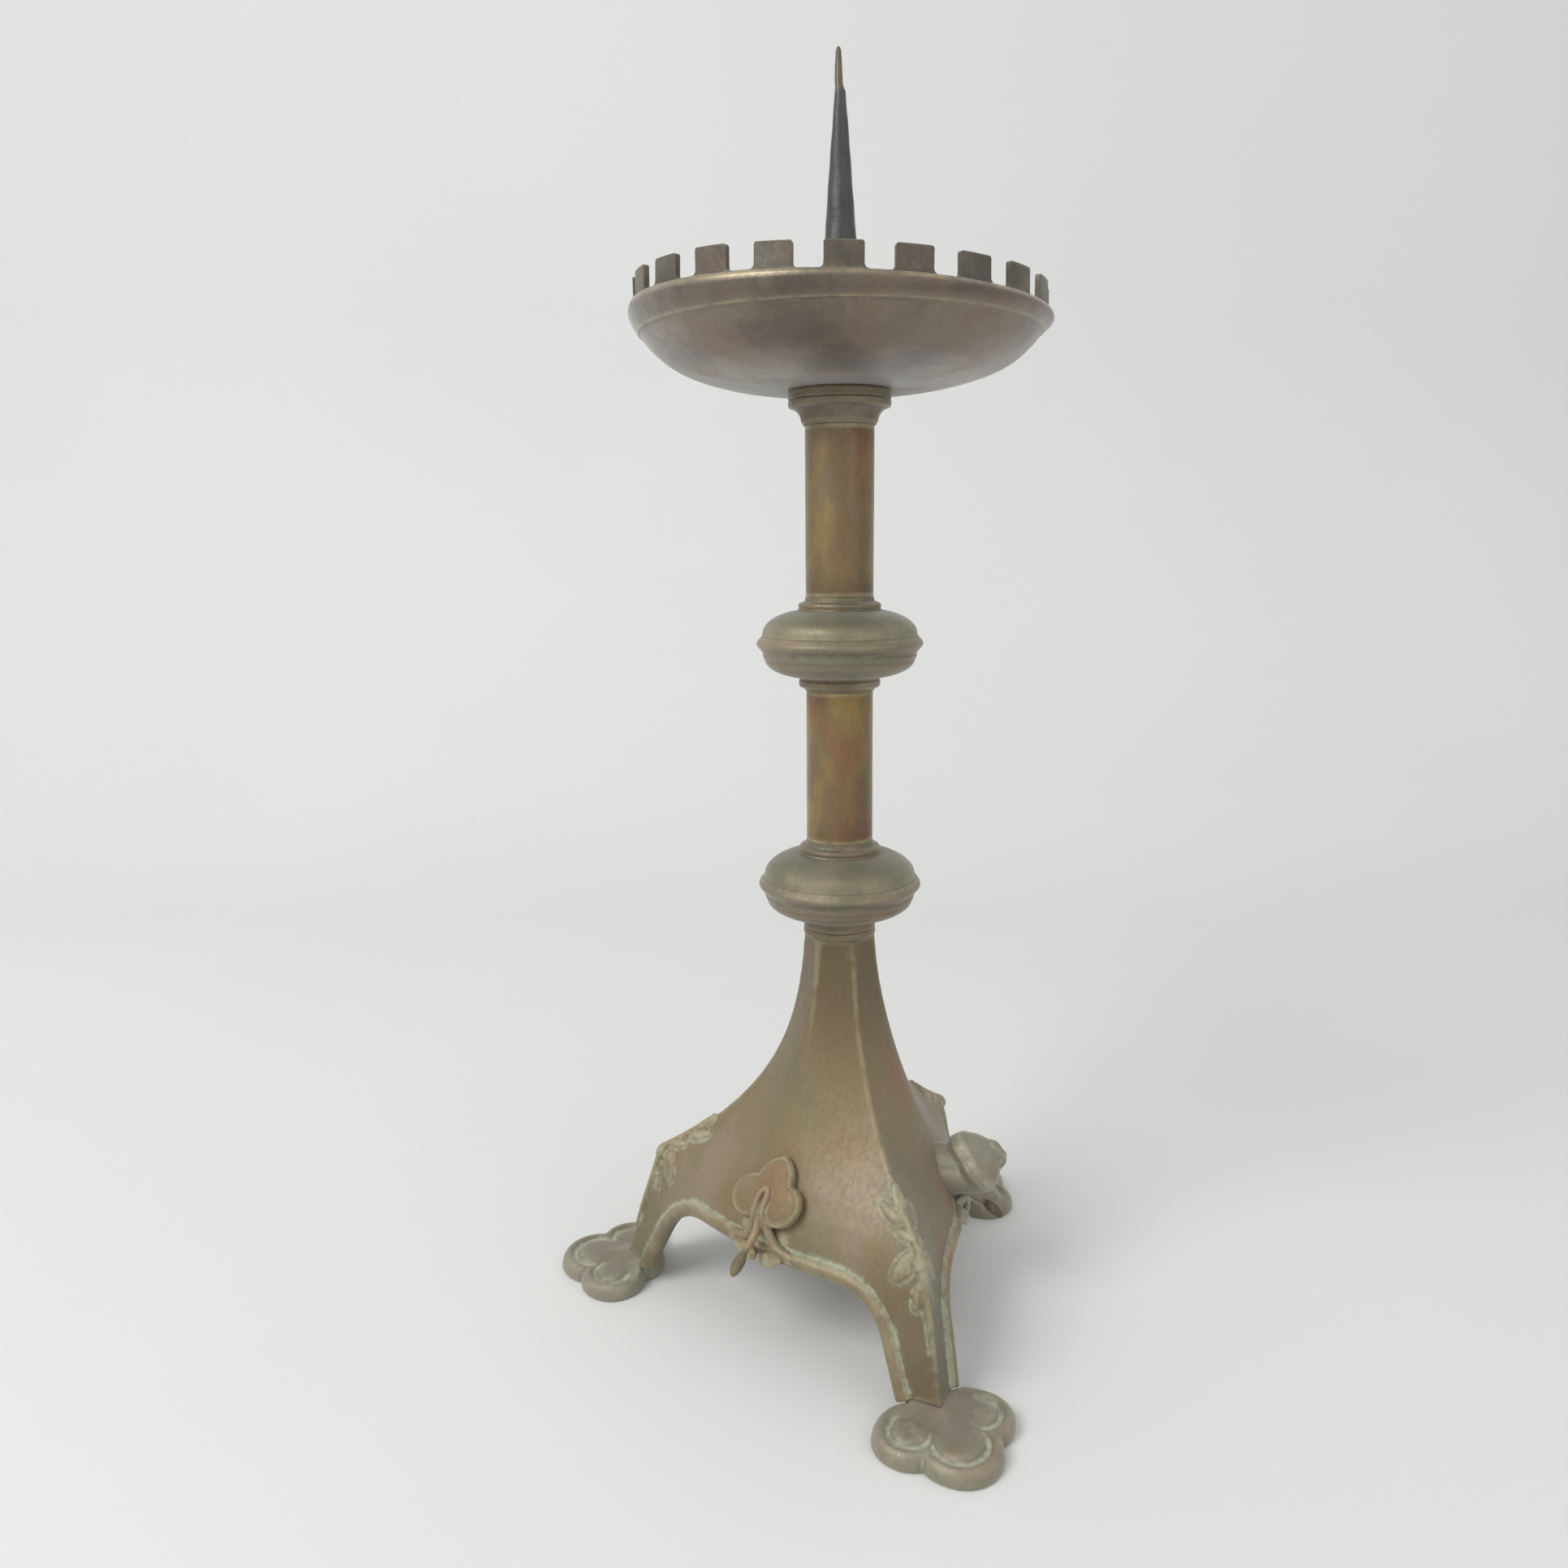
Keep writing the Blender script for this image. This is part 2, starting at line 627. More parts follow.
@node_group("Rubbed Crest", "ShaderNodeTree",
            {"Place": ("Vector", None), "Crest": ("Float", 0.0), "Amount": ("Float", 1.0)}, {"Rub": "Float"})
def rubbed_crest(tree, take):
    """Bare metal along crests that hands and cloths have rubbed."""
    broken = ramp(tree, noise(tree, take["Place"], 160.0, 4.0, 0.6, 2.3), 0.3, 0.62, 0.25, 1.0)
    rub = times(tree, ramp(tree, take["Crest"], 0.1, 0.75), broken)
    return {"Rub": times(tree, rub, take["Amount"])}


@node_group("Worked Skin", "ShaderNodeTree",
            {"Place": ("Vector", None), "Grain": ("Float", 0.3), "Dents": ("Float", 0.5),
             "Pits": ("Float", 0.3)},
            {"Height": "Float"})
def worked_skin(tree, take):
    """Height of pits, dents and grain left by casting, spinning and years of use."""
    grain = times(tree, noise(tree, take["Place"], 1600.0, 3.0, 0.6), take["Grain"])
    dents = times(tree, noise(tree, take["Place"], 130.0, 3.0, 0.5, 4.4), take["Dents"])
    pits = ramp(tree, noise(tree, take["Place"], 520.0, 3.0, 0.6, 9.2), 0.6, 0.76)
    pits = times(tree, pits, take["Pits"])
    return {"Height": figure(tree, "SUBTRACT", plus(tree, grain, dents), pits)}


def solid_colour(name):
    """A finish colour by its property's name, for a colour socket."""
    return (*getattr(settings().finish, name), 1.0)


# Shades that darken the metal under grime, in specks and in dirty hollows
GRIME_SHADE = (0.2, 0.17, 0.15, 1.0)
SPECK_SHADE = (0.35, 0.33, 0.3, 1.0)
DIRT_SHADE = (0.3, 0.27, 0.22, 1.0)
BUMP_HEIGHT = 0.0004


def empty_material(name):
    """A new material and its node tree, without nodes."""
    made = bpy.data.materials.new(name)
    made.use_nodes = True
    made.node_tree.nodes.clear()
    return made, made.node_tree


def aged_metal(name, colours, worn="rubbed", crust=1.0, spots=0.0, rub=1.0, clouds=45.0, stains=95.0,
               stretch=(1.0, 1.0, 1.0), polish=0.42, metal=0.8, grain=0.3, dents=0.5, pits=0.3, rings=0.0,
               stain_share=0.8, bloom=0.4, dust=0.25):
    """An old metal skin: clouded ground, stains, crust in hollows, rubbed crests and worked surface."""
    if name in bpy.data.materials:
        return bpy.data.materials[name]
    made, tree = empty_material(name)
    place = put(tree, "ShaderNodeTexCoord").outputs["Object"]
    drawn = put(tree, "ShaderNodeMapping", {"Vector": place, "Scale": stretch}).outputs[0]

    def group(node_tree, values):
        return put(tree, "ShaderNodeGroup", values, node_tree=node_tree).outputs

    patina = group(patina_clouds(), {"Place": drawn, "Cloud Scale": clouds, "Stain Scale": stains})
    crusted = group(hollow_crust(), {"Place": place, "Hollow": kept_value(tree, "hollow"),
                                     "Film": kept_value(tree, "film"), "Amount": crust, "Spots": spots})
    rubbed = group(rubbed_crest(), {"Place": place, "Crest": kept_value(tree, "crest"), "Amount": rub})["Rub"]
    skin = group(worked_skin(), {"Place": place, "Grain": grain, "Dents": dents, "Pits": pits})["Height"]
    ground, drift, stain = (solid_colour(part) for part in colours)
    tone = blend(tree, patina["Cloud"], ground, drift)
    tone = blend(tree, times(tree, patina["Stain"], stain_share), tone, stain)
    tone = blend(tree, times(tree, patina["Bloom"], bloom), tone, solid_colour("bloom"))
    for part, shade in ((kept_value(tree, "grime"), GRIME_SHADE),
                        (times(tree, patina["Speck"], 0.1), SPECK_SHADE),
                        (times(tree, crusted["Dirt"], 0.4), DIRT_SHADE)):
        tone = blend(tree, part, tone, shade, "MULTIPLY")
    tone = blend(tree, rubbed, tone, solid_colour(worn))
    tone = blend(tree, crusted["Film"], tone, solid_colour("film"))
    tone = blend(tree, crusted["Crust"], tone, solid_colour("verdigris"))
    rough = polish
    for part, change in ((patina["Stain"], 0.14), (patina["Speck"], 0.08), (rubbed, -0.1),
                         (crusted["Crust"], 0.3)):
        rough = plus(tree, rough, times(tree, part, change))
    sheen = metal
    for part, change in ((patina["Stain"], -0.25), (crusted["Dirt"], -0.3)):
        sheen = plus(tree, sheen, times(tree, part, change))
    covered = figure(tree, "MAXIMUM", crusted["Crust"], crusted["Film"])
    sheen = times(tree, sheen, figure(tree, "SUBTRACT", 1.0, covered))
    height = plus(tree, skin, times(tree, crusted["Crust"], 0.5))
    if rings:
        marks = put(tree, "ShaderNodeTexWave", {"Vector": place, "Scale": 210.0, "Distortion": 1.2,
                                                "Detail": 3.0, "Detail Scale": 2.0},
                    wave_type="RINGS", rings_direction="Z").outputs["Fac"]
        height = plus(tree, height, times(tree, marks, rings))
    bump = put(tree, "ShaderNodeBump", {"Strength": 0.5, "Distance": BUMP_HEIGHT, "Height": height})
    shader = put(tree, "ShaderNodeBsdfPrincipled",
                 {"Base Color": tone, "Roughness": rough, "Metallic": sheen, "Normal": bump.outputs[0],
                  "Sheen Weight": dust, "Sheen Roughness": 0.45})
    put(tree, "ShaderNodeOutputMaterial", {"Surface": shader.outputs[0]})
    return made


# For each finish, its colours and what differs from an aged metal's usual values
FINISHES = {
    "cast_brass": dict(
        colours=("cast_ground", "cast_drift", "cast_stain"), crust=0.45, spots=0.3, rub=0.35, clouds=22.0,
        stains=34.0, stretch=(1.0, 1.0, 0.55), polish=0.52, metal=0.42, grain=0.35, dents=0.4, pits=0.4,
        stain_share=0.75, bloom=0.35),
    "foot_brass": dict(
        colours=("foot_ground", "foot_drift", "foot_stain"), crust=0.55, spots=0.5, rub=0.25, clouds=40.0,
        polish=0.5, metal=0.4, grain=0.4, dents=0.6, pits=0.5, dust=0.35),
    "turned_brass": dict(
        colours=("turned_ground", "turned_drift", "turned_stain"), crust=0.15, spots=0.1, rub=0.15,
        clouds=50.0, stains=70.0, metal=0.6, grain=0.25, dents=0.3, bloom=0.3),
    "knop_brass": dict(
        colours=("knop_ground", "knop_drift", "knop_stain"), crust=0.2, rub=0.25, clouds=30.0, stains=40.0,
        polish=0.47, metal=0.5, grain=0.25, dents=0.3, pits=0.2, stain_share=0.5, bloom=0.15),
    "bowl_brass": dict(
        colours=("bowl_ground", "knop_drift", "knop_stain"), crust=0.2, rub=0.2, clouds=30.0, stains=40.0,
        polish=0.46, metal=0.5, grain=0.25, dents=0.3, pits=0.2, stain_share=0.5, bloom=0.15),
    "pan_brass": dict(
        colours=("pan_ground", "pan_drift", "pan_stain"), crust=0.15, spots=0.2, rub=0.5, clouds=34.0,
        stains=62.0, polish=0.38, metal=0.7, dents=0.6, rings=0.04, stain_share=0.7, bloom=0.6, dust=0.4),
    "tube_brass": dict(
        colours=("tube_ground", "tube_drift", "tube_stain"), crust=0.2, rub=0.4, clouds=44.0, stains=46.0,
        stretch=(1.0, 1.0, 0.45), polish=0.38, metal=0.7, grain=0.2, dents=0.35, pits=0.2, bloom=0.15),
    "strip_brass": dict(
        colours=("strip_ground", "strip_drift", "strip_stain"), crust=0.3, spots=0.3, rub=0.2, clouds=60.0,
        polish=0.5, metal=0.45, grain=0.4, pits=0.4, bloom=0.15),
    "forged_iron": dict(
        colours=("iron_ground", "iron_drift", "iron_rust"), worn="iron_rust", crust=0.1, clouds=60.0,
        stains=60.0, stretch=(1.0, 1.0, 0.4), metal=0.6, grain=0.5, dents=0.8, pits=0.5, stain_share=0.45,
        bloom=0.15),
    "iron_hardware": dict(
        colours=("iron_ground", "iron_drift", "iron_rust"), worn="iron_rust", crust=0.2, clouds=90.0,
        stains=120.0, polish=0.5, metal=0.55, grain=0.5, pits=0.6, bloom=0.1),
}


def finish(name):
    """The material of a finish."""
    return aged_metal("old_" + name, **FINISHES[name])


def hand_over(piece, material, body, slot, *nodes):
    """Gives a finished piece its material, its body, its slot and the solids it stands for."""
    piece.data.materials.clear()
    piece.data.materials.append(material)
    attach(piece, body)
    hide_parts(*nodes)


# Base

LEG_FOOT, BASE_TOP = ends("tripod_base")
NECK_SOLID = 10.0
NECK_REACH = 11.7
KNEE_HEIGHT = 48.4
KNEE_REACH = 63.0
RIDGE_TAPER = 7.1
FACE_TAPER = 5.0
FACE_KNEE_REACH = 37.1
LEG_SPLAY = math.radians(19.0)
FACE_SPLAY = math.radians(20.0)
ARCH_CROWN = 33.0
ARCH_HALF = 40.4
ARCH_SPLAY = math.tan(math.radians(25.0))
ARCH_CORNER = 19.0
# Shares of the skin above and below a place that ease the knee
EASING = ((-1.0, 1.0), (-0.5, 2.0), (0.0, 3.0), (0.5, 2.0), (1.0, 1.0))
EASING_SUM = 9.0
SPRIG_TOP = 62.0
SPRIG_FOOT = 17.0
# Leaves of a knee's sprig: inset from the ridge, height, rise and run of half a leaf, length and width
SPRIG_LEAVES = ((4.2, 54.6, 3.6, 5.0, 9.5, 5.4), (2.6, 50.8, 1.0, 4.0, 6.4, 4.2),
                (6.2, 43.6, -5.4, 5.2, 13.0, 6.6), (3.2, 36.4, -5.0, 2.4, 8.0, 3.8))


def below_neck(z):
    return (BASE_TOP - np.asarray(z, float)) / (BASE_TOP - KNEE_HEIGHT)


def ridge_reach(z):
    """Distance of a leg's ridge from the stem's axis."""
    part = below_neck(z)
    spire = NECK_REACH + RIDGE_TAPER * part + (KNEE_REACH - NECK_REACH - RIDGE_TAPER) * part ** 3
    return np.where(part > 1.0, KNEE_REACH + (KNEE_HEIGHT - z) * math.tan(LEG_SPLAY), spire)


def face_reach(z):
    """Distance of the middle of a face from the stem's axis."""
    part = below_neck(z)
    spire = NECK_REACH + FACE_TAPER * part + (FACE_KNEE_REACH - NECK_REACH - FACE_TAPER) * part ** 2
    return np.where(part > 1.0, FACE_KNEE_REACH + (KNEE_HEIGHT - z) * math.tan(FACE_SPLAY), spire)


def creased_depth(across, z):
    """Depth of a face's skin, creased in the middle at the neck and rounded lower down."""
    crease = 0.02 + settings().casting.face_rounding * smooth_step(12.0, 42.0, BASE_TOP - z)
    part = np.abs(across) / (ridge_reach(z) * SIN60)
    bend = (np.sqrt(part ** 2 + crease ** 2) - crease) / (np.sqrt(1.0 + crease ** 2) - crease)
    return face_reach(z) + (ridge_reach(z) / 2.0 - face_reach(z)) * bend


def face_depth(across, z):
    """Depth of a face's skin, with its knee eased away from the ridges."""
    across, z = np.broadcast_arrays(np.asarray(across, float), np.asarray(z, float))
    part = np.clip(np.abs(across) / (ridge_reach(z) * SIN60), 0.0, 1.0)
    reach = settings().casting.knee_easing / MM * (1.0 - part ** 3) * smooth_step(5.0, 40.0, BASE_TOP - z)
    depth = 0.0
    for step, weight in EASING:
        depth = depth + weight / EASING_SUM * creased_depth(across, z + step * reach)
    return depth


def from_face(azimuth, across, depth, z):
    """A point given across, out from and up a face, in the part's frame."""
    way = math.radians(azimuth)
    across, depth, z = np.broadcast_arrays(np.asarray(across, float), depth, z)
    return np.stack([depth * math.cos(way) - across * math.sin(way),
                     depth * math.sin(way) + across * math.cos(way), z], -1)


def on_face(azimuth, across, z, proud=0.0):
    return from_face(azimuth, across, face_depth(across, z) + proud, z)


def face_normal(azimuth, across, z):
    """Outward direction of a face's skin."""
    step = 0.4
    wide = on_face(azimuth, across + step, z) - on_face(azimuth, across - step, z)
    high = on_face(azimuth, across, z + step) - on_face(azimuth, across, z - step)
    return unit(np.cross(wide, high))


def base_body():
    """The spire and legs as one closed form."""
    rings = []
    for z in np.linspace(BASE_TOP, LEG_FOOT, 110):
        half = ridge_reach(z) * SIN60
        across = np.linspace(-half, half, 61)[:-1]
        rings.append(np.concatenate([on_face(azimuth, across, z) for azimuth in FACES.values()]))
    return capped_rings(np.array(rings))


def base_hollow(wall):
    """The hollow inside the base, open below."""
    rings = []
    for z in np.linspace(BASE_TOP - NECK_SOLID, 0.0, 40):
        ring = []
        for leg, face in zip(LEGS.values(), FACES.values()):
            for way, reach in ((leg, ridge_reach(z) - 1.5 * wall), (face, face_reach(z) - wall)):
                ring.append(level_way(way) * reach + (0.0, 0.0, z))
        rings.append(ring)
    return capped_rings(np.array(rings))


def rounded_line(corners, radii, steps=14):
    """An open line of points with its inner corners rounded to the given radii."""
    corners = np.asarray(corners, float)
    made = [corners[0]]
    for before, corner, after, radius in zip(corners, corners[1:], corners[2:], radii):
        back, ahead = unit(before - corner), unit(after - corner)
        half = math.acos(np.clip(np.dot(back, ahead), -1.0, 1.0)) / 2.0
        start, end = corner + back * radius / math.tan(half), corner + ahead * radius / math.tan(half)
        centre = corner + unit(back + ahead) * radius / math.sin(half)
        first, last = start - centre, end - centre
        sweep = math.acos(np.clip(np.dot(first, last) / radius ** 2, -1.0, 1.0))
        for part in np.linspace(0.0, 1.0, steps):
            swung = np.sin((1 - part) * sweep) * first + np.sin(part * sweep) * last
            made.append(centre + swung / np.sin(sweep))
    made.append(corners[-1])
    return np.array(made)


def even_steps(line, step):
    """A line of points divided into equal steps."""
    runs = np.concatenate([[0.0], np.cumsum(np.linalg.norm(np.diff(line, axis=0), axis=1))])
    marks = np.linspace(0.0, runs[-1], max(2, int(runs[-1] / step)))
    return np.stack([np.interp(marks, runs, line[:, axis]) for axis in range(line.shape[1])], 1)


def arch_edge(out, foot):
    """Half of an arch's edge, moved outwards: its foot corner and its shoulder corner."""
    lean = math.hypot(1.0, ARCH_SPLAY)
    shoulder = (ARCH_HALF + out * lean - out * ARCH_SPLAY, ARCH_CROWN + out)
    return (shoulder[0] + (shoulder[1] - foot) * ARCH_SPLAY, foot), shoulder


def arch_cutter(azimuth):
    """The form that opens an arch in one face."""
    foot, shoulder = arch_edge(0.0, 0.0)
    half = rounded_line([foot, shoulder, (0.0, ARCH_CROWN)], [ARCH_CORNER])
    outline = np.concatenate([half, half[-2::-1] * (-1.0, 1.0)])
    near = from_face(azimuth, outline[:, 0], 8.0, outline[:, 1])
    far = from_face(azimuth, outline[:, 0], 130.0, outline[:, 1])
    return capped_rings(np.array([near, far]))


def arch_bead(azimuth, side):
    """Half of the bead round an arch, with its middle line and the direction away from the opening."""
    casting = settings().casting
    radius = casting.bead_width / MM / 2.0
    foot, shoulder = arch_edge(radius - 0.1, LEG_FOOT - 1.0)
    line = even_steps(rounded_line([foot, shoulder, (0.5, shoulder[1])], [ARCH_CORNER + radius]), 0.9)
    proud = -casting.bead_sink / MM
    path = on_face(azimuth, side * line[:, 0], line[:, 1], proud)
    run = np.gradient(line, axis=0)
    beyond = line + 0.5 * unit(np.stack([run[:, 1], -run[:, 0]], 1))
    away = unit(on_face(azimuth, side * beyond[:, 0], beyond[:, 1], proud) - path)
    thin = smooth_step(15.0, 6.0, line[:, 0])
    radii = radius * (1.0 - 0.42 * thin) * (1.0 + 0.03 * np.sin(np.arange(len(line)) * 0.21 + side))
    return rod_along(path, radii, level_way(azimuth) + (0.0, 0.0, 0.35), 18), path, away


def beside_beads(points, beads):
    """How far points lie on the upper side of the nearest bead and from its middle, in radii of the bead."""
    radius = settings().casting.bead_width / MM / 2.0
    path, away = (np.concatenate([bead[part] for bead in beads]) for part in (1, 2))
    index, gap = nearest(points, path)
    return np.sum((points - path[index]) * away[index], 1) / radius, gap / radius


def on_flank(leg, side, inset, z):
    """A point beside a leg's ridge and the skin's outward direction there."""
    azimuth = leg + 60.0 * side
    across = -side * (ridge_reach(z) * SIN60 - inset)
    return on_face(azimuth, across, z), face_normal(azimuth, across, z)


def knee_sprig(leg):
    """A sprig over a knee: a leaf above, a bud, leaves on each flank and a stem down the ridge."""
    relief = settings().casting.sprig_relief / MM
    way = level_way(leg)
    shapes = []

    def ridge_point(z, proud):
        return way * (ridge_reach(z) + proud) + (0.0, 0.0, z)

    heights = np.linspace(SPRIG_TOP, SPRIG_FOOT, 40)
    stem = np.array([ridge_point(z, 0.1) for z in heights])
    radii = np.interp(heights, [SPRIG_FOOT, 24.0, 44.0, SPRIG_TOP], [0.5, 1.0, 1.35, 0.9])
    shapes.append(rod_along(stem, radii, np.cross(way, (0.0, 0.0, 1.0))))
    shapes.append(petal(ridge_point(47.0, 0.0), (0.55 * way + (0.0, 0.0, -1.0)), way, 6.4, 5.4, 3.8))
    top = ridge_point(62.5, 0.3) - ridge_point(55.0, 0.3)
    shapes.append(petal(ridge_point(59.0, 0.0), top, way, 10.5, 5.0, 2.0 * relief, 0.35))
    for side in (-1, 1):
        for number, (inset, z, rise, run, long, wide) in enumerate(SPRIG_LEAVES):
            stray = math.sin(5.3 * number + 2.1 * side + leg)
            z, rise, long = z + 1.1 * stray, rise * (1.0 - 0.3 * stray), long * (1.0 + 0.14 * stray)
            middle, out = on_flank(leg, side, inset, z)
            far, _ = on_flank(leg, side, inset + run, z + rise)
            near, _ = on_flank(leg, side, max(0.3, inset - run), z - rise)
            thick = (2.0 + 0.5 * stray) * relief
            shapes.append(petal(middle + out * 0.1, far - near, out, long, wide, thick, 0.3))
    return shapes


class CANDLE_OT_base(bpy.types.Operator):
    """Cast the hollow three-legged base with its beaded arches and knee sprigs"""
    bl_idname = "candle.base"
    bl_label = "Cast Base"

    def execute(self, context):
        casting = settings().casting
        piece = new_piece("base", *base_body())
        for azimuth in FACES.values():
            cut_away(piece, new_piece("arch", *arch_cutter(azimuth)))
        beads = [arch_bead(azimuth, side) for azimuth in FACES.values() for side in (-1, 1)]
        sprigs = [shape for leg in LEGS.values() for shape in knee_sprig(leg)]
        trim = new_piece("trim", *gather([bead[0] for bead in beads] + sprigs))
        shape = bmesh.new()
        shape.from_mesh(piece.data)
        shape.from_mesh(trim.data)
        shape.to_mesh(piece.data)
        shape.free()
        bpy.data.objects.remove(trim)
        lay_skin(piece, casting.skin_size, 3, 150000)
        mark_relief(piece, 9, 0.24)
        mark(piece, "film", lambda points: self.film(points, beads, sprigs))
        cut_away(piece, new_piece("hollow", *base_hollow(casting.wall / MM)))
        face_outwards(piece)
        mark(piece, "grime", lambda points: self.grime(points, beads))
        hand_over(piece, finish("cast_brass"), "stand", "cast_brass", "tripod_base")
        return {"FINISHED"}

    def grime(self, points, beads):
        """Brown dirt towards the neck, down the dull side of the legs and on the lower half of the beads."""
        above, gap = beside_beads(points, beads)
        bead = 0.26 * smooth_step(0.7, 0.1, above) * smooth_step(1.5, 1.15, gap)
        dull = smooth_step(-15.0, 20.0, points[:, :2] @ DULL_WAY)
        leg = 0.28 * smooth_step(54.0, 26.0, points[:, 2]) * dull
        return np.maximum(0.47 * smooth_step(74.0, 120.0, points[:, 2]) + leg, bead)

    def film(self, points, beads, sprigs):
        """A pale film on the beads' upper side, in pools beside the leaves and in specks on the sprigs."""
        above, gap = beside_beads(points, beads)
        amount = 0.74 * smooth_step(0.15, 0.75, above) * smooth_step(1.45, 1.1, gap)
        _, gap = nearest(points, np.concatenate([shape[0] for shape in sprigs]))
        amount = np.maximum(amount, 0.53 * smooth_step(2.6, 0.6, gap))
        pools = [on_face(azimuth, side * 7.6, 39.6) for azimuth in FACES.values() for side in (-1, 1)]
        _, gap = nearest(points, np.array(pools))
        return np.maximum(amount, 0.85 * np.exp(-(gap / 3.3) ** 2))


# Feet

FOOT_TOP = ends("foot_front")[1]
# Each lobe's centre, radius and the way it faces
FOOT_LOBES = (((88.6, 0.0), 13.0, (1.0, 0.0)), ((79.5, 11.2), 11.2, (0.3, 0.95)),
              ((79.5, -11.2), 11.2, (0.3, -0.95)))
FOOT_ROOT = ((73.4, 0.0), 9.6)
FOOT_MIDDLE = np.array([80.0, 0.0])
FOOT_EDGE = 1.6
FOOT_ROLL = 2.8
GROOVE_INSET = 4.7
GROOVE_WIDTH = 1.25
# The leg's corner over a foot, the way its two flanks face, and how far the two forms melt into each other
LEG_CORNER = 77.1
LEG_FLANK = (0.662, 0.75)
LEG_MELT = 0.9


def star_reach(middle, circles, turn):
    """Distance from a middle point to the outline of joined circles, in each direction."""
    reach = np.zeros_like(turn)
    way = np.stack([np.cos(turn), np.sin(turn)], -1)
    for centre, radius in circles:
        off = np.asarray(centre) - middle
        along = way @ off
        inside = radius ** 2 - (off @ off - along ** 2)
        reach = np.maximum(reach, np.where(inside > 0.0, along + np.sqrt(np.maximum(inside, 0.0)), 0.0))
    return reach


def foot_insets(x, y):
    """How far inside each lobe of a foot a point lies, and how far inside the whole outline."""
    insets = [radius - np.hypot(x - centre[0], y - centre[1]) for centre, radius, _ in FOOT_LOBES]
    root = FOOT_ROOT[1] - np.hypot(x - FOOT_ROOT[0][0], y - FOOT_ROOT[0][1])
    return insets, np.maximum.reduce(insets + [root])


def foot_grooves(x, y):
    """How much of the groove inside a lobe's rim lies at a point of a foot."""
    insets, inset = foot_insets(x, y)
    most = 0.0
    for (centre, radius, way), own in zip(FOOT_LOBES, insets):
        facing = ((x - centre[0]) * way[0] + (y - centre[1]) * way[1]) / radius
        reach = smooth_step(-0.45, 0.1, facing) * smooth_step(-1.6, 0.0, own - inset)
        most = np.maximum(most, np.exp(-((own - GROOVE_INSET) / GROOVE_WIDTH) ** 2) * reach)
    return most


def foot_height(x, y):
    """Height of a foot's top: a cushion with a rounded rim, a groove in each lobe and a rise to the leg."""
    casting = settings().casting
    rim, groove = casting.foot_rim / MM, casting.foot_groove / MM
    _, inset = foot_insets(x, y)
    edge = np.sqrt(1.0 - (1.0 - np.clip(inset / FOOT_ROLL, 0.0, 1.0)) ** 2)
    height = FOOT_EDGE + (rim - FOOT_EDGE) * edge + 0.08 * np.maximum(inset - 5.5, 0.0)
    height = height - groove * foot_grooves(x, y)
    off_leg = (x - LEG_CORNER) * LEG_FLANK[0]
    beyond_leg = np.maximum(off_leg + y * LEG_FLANK[1], off_leg - y * LEG_FLANK[1])
    rise = FOOT_TOP - 0.34 * np.maximum(0.0, beyond_leg - 0.3)
    gap = np.clip(0.5 + 0.5 * (rise - height) / LEG_MELT, 0.0, 1.0)
    joined = height + (rise - height) * gap + LEG_MELT * gap * (1.0 - gap)
    return np.minimum(np.minimum(joined, FOOT_TOP), FOOT_EDGE + (FOOT_TOP - FOOT_EDGE) * edge)


def foot_points(steps=168):
    """Rings of points over a foot's top, down its side and across its sole."""
    turn = full_turn(steps)
    circles = [lobe[:2] for lobe in FOOT_LOBES] + [FOOT_ROOT]
    reach = star_reach(FOOT_MIDDLE, circles, turn)
    reach = reach * (1.0 + 0.006 * np.sin(3 * turn + 0.8) + 0.004 * np.sin(7 * turn + 2.0))
    way = np.stack([np.cos(turn), np.sin(turn)], -1)
    rings = []
    tops = [np.linspace(0.02, 0.6, 18)[:-1], np.linspace(0.6, 0.94, 26)[:-1], np.linspace(0.94, 1.0, 9)]
    for part in np.concatenate(tops):
        place = FOOT_MIDDLE + way * (reach * part)[:, None]
        rings.append(np.column_stack([place, foot_height(place[:, 0], place[:, 1])]))
    rim = rings[-1]
    for inward, part in ((0.0, 0.55), (0.1, 0.2), (0.6, 0.0)):
        place = FOOT_MIDDLE + way * (reach - inward)[:, None]
        rings.append(np.column_stack([place, rim[:, 2] * part]))
    for part in (0.6, 0.02):
        place = FOOT_MIDDLE + way * (reach * part)[:, None]
        rings.append(np.column_stack([place, np.zeros(steps)]))
    return np.array(rings)


class CANDLE_OT_feet(bpy.types.Operator):
    """Cast the three lobed feet"""
    bl_idname = "candle.feet"
    bl_label = "Cast Feet"

    def execute(self, context):
        casting = settings().casting
        rings = foot_points()
        for name, azimuth in LEGS.items():
            way = math.radians(azimuth)
            turned_rings = np.stack([rings[..., 0] * math.cos(way) - rings[..., 1] * math.sin(way),
                                     rings[..., 0] * math.sin(way) + rings[..., 1] * math.cos(way),
                                     rings[..., 2]], -1)
            piece = new_piece("foot_cast_" + name, *capped_rings(turned_rings))
            lay_skin(piece, casting.skin_size, 2, 60000)
            face_outwards(piece)
            mark_relief(piece, 9, 0.22)
            mark(piece, "film", lambda points: self.film(points, way))
            hand_over(piece, finish("foot_brass"), "stand", "cast_brass", "foot_" + name)
        return {"FINISHED"}

    def film(self, points, way):
        """A pale film in the grooves, and in specks on the two side lobes."""
        x = points[:, 0] * math.cos(way) + points[:, 1] * math.sin(way)
        y = points[:, 1] * math.cos(way) - points[:, 0] * math.sin(way)
        specks = 0.4 * smooth_step(5.0, 10.0, np.abs(y))
        return np.maximum(0.75 * foot_grooves(x, y), specks) * smooth_step(2.0, 3.5, points[:, 2])


# Leaves

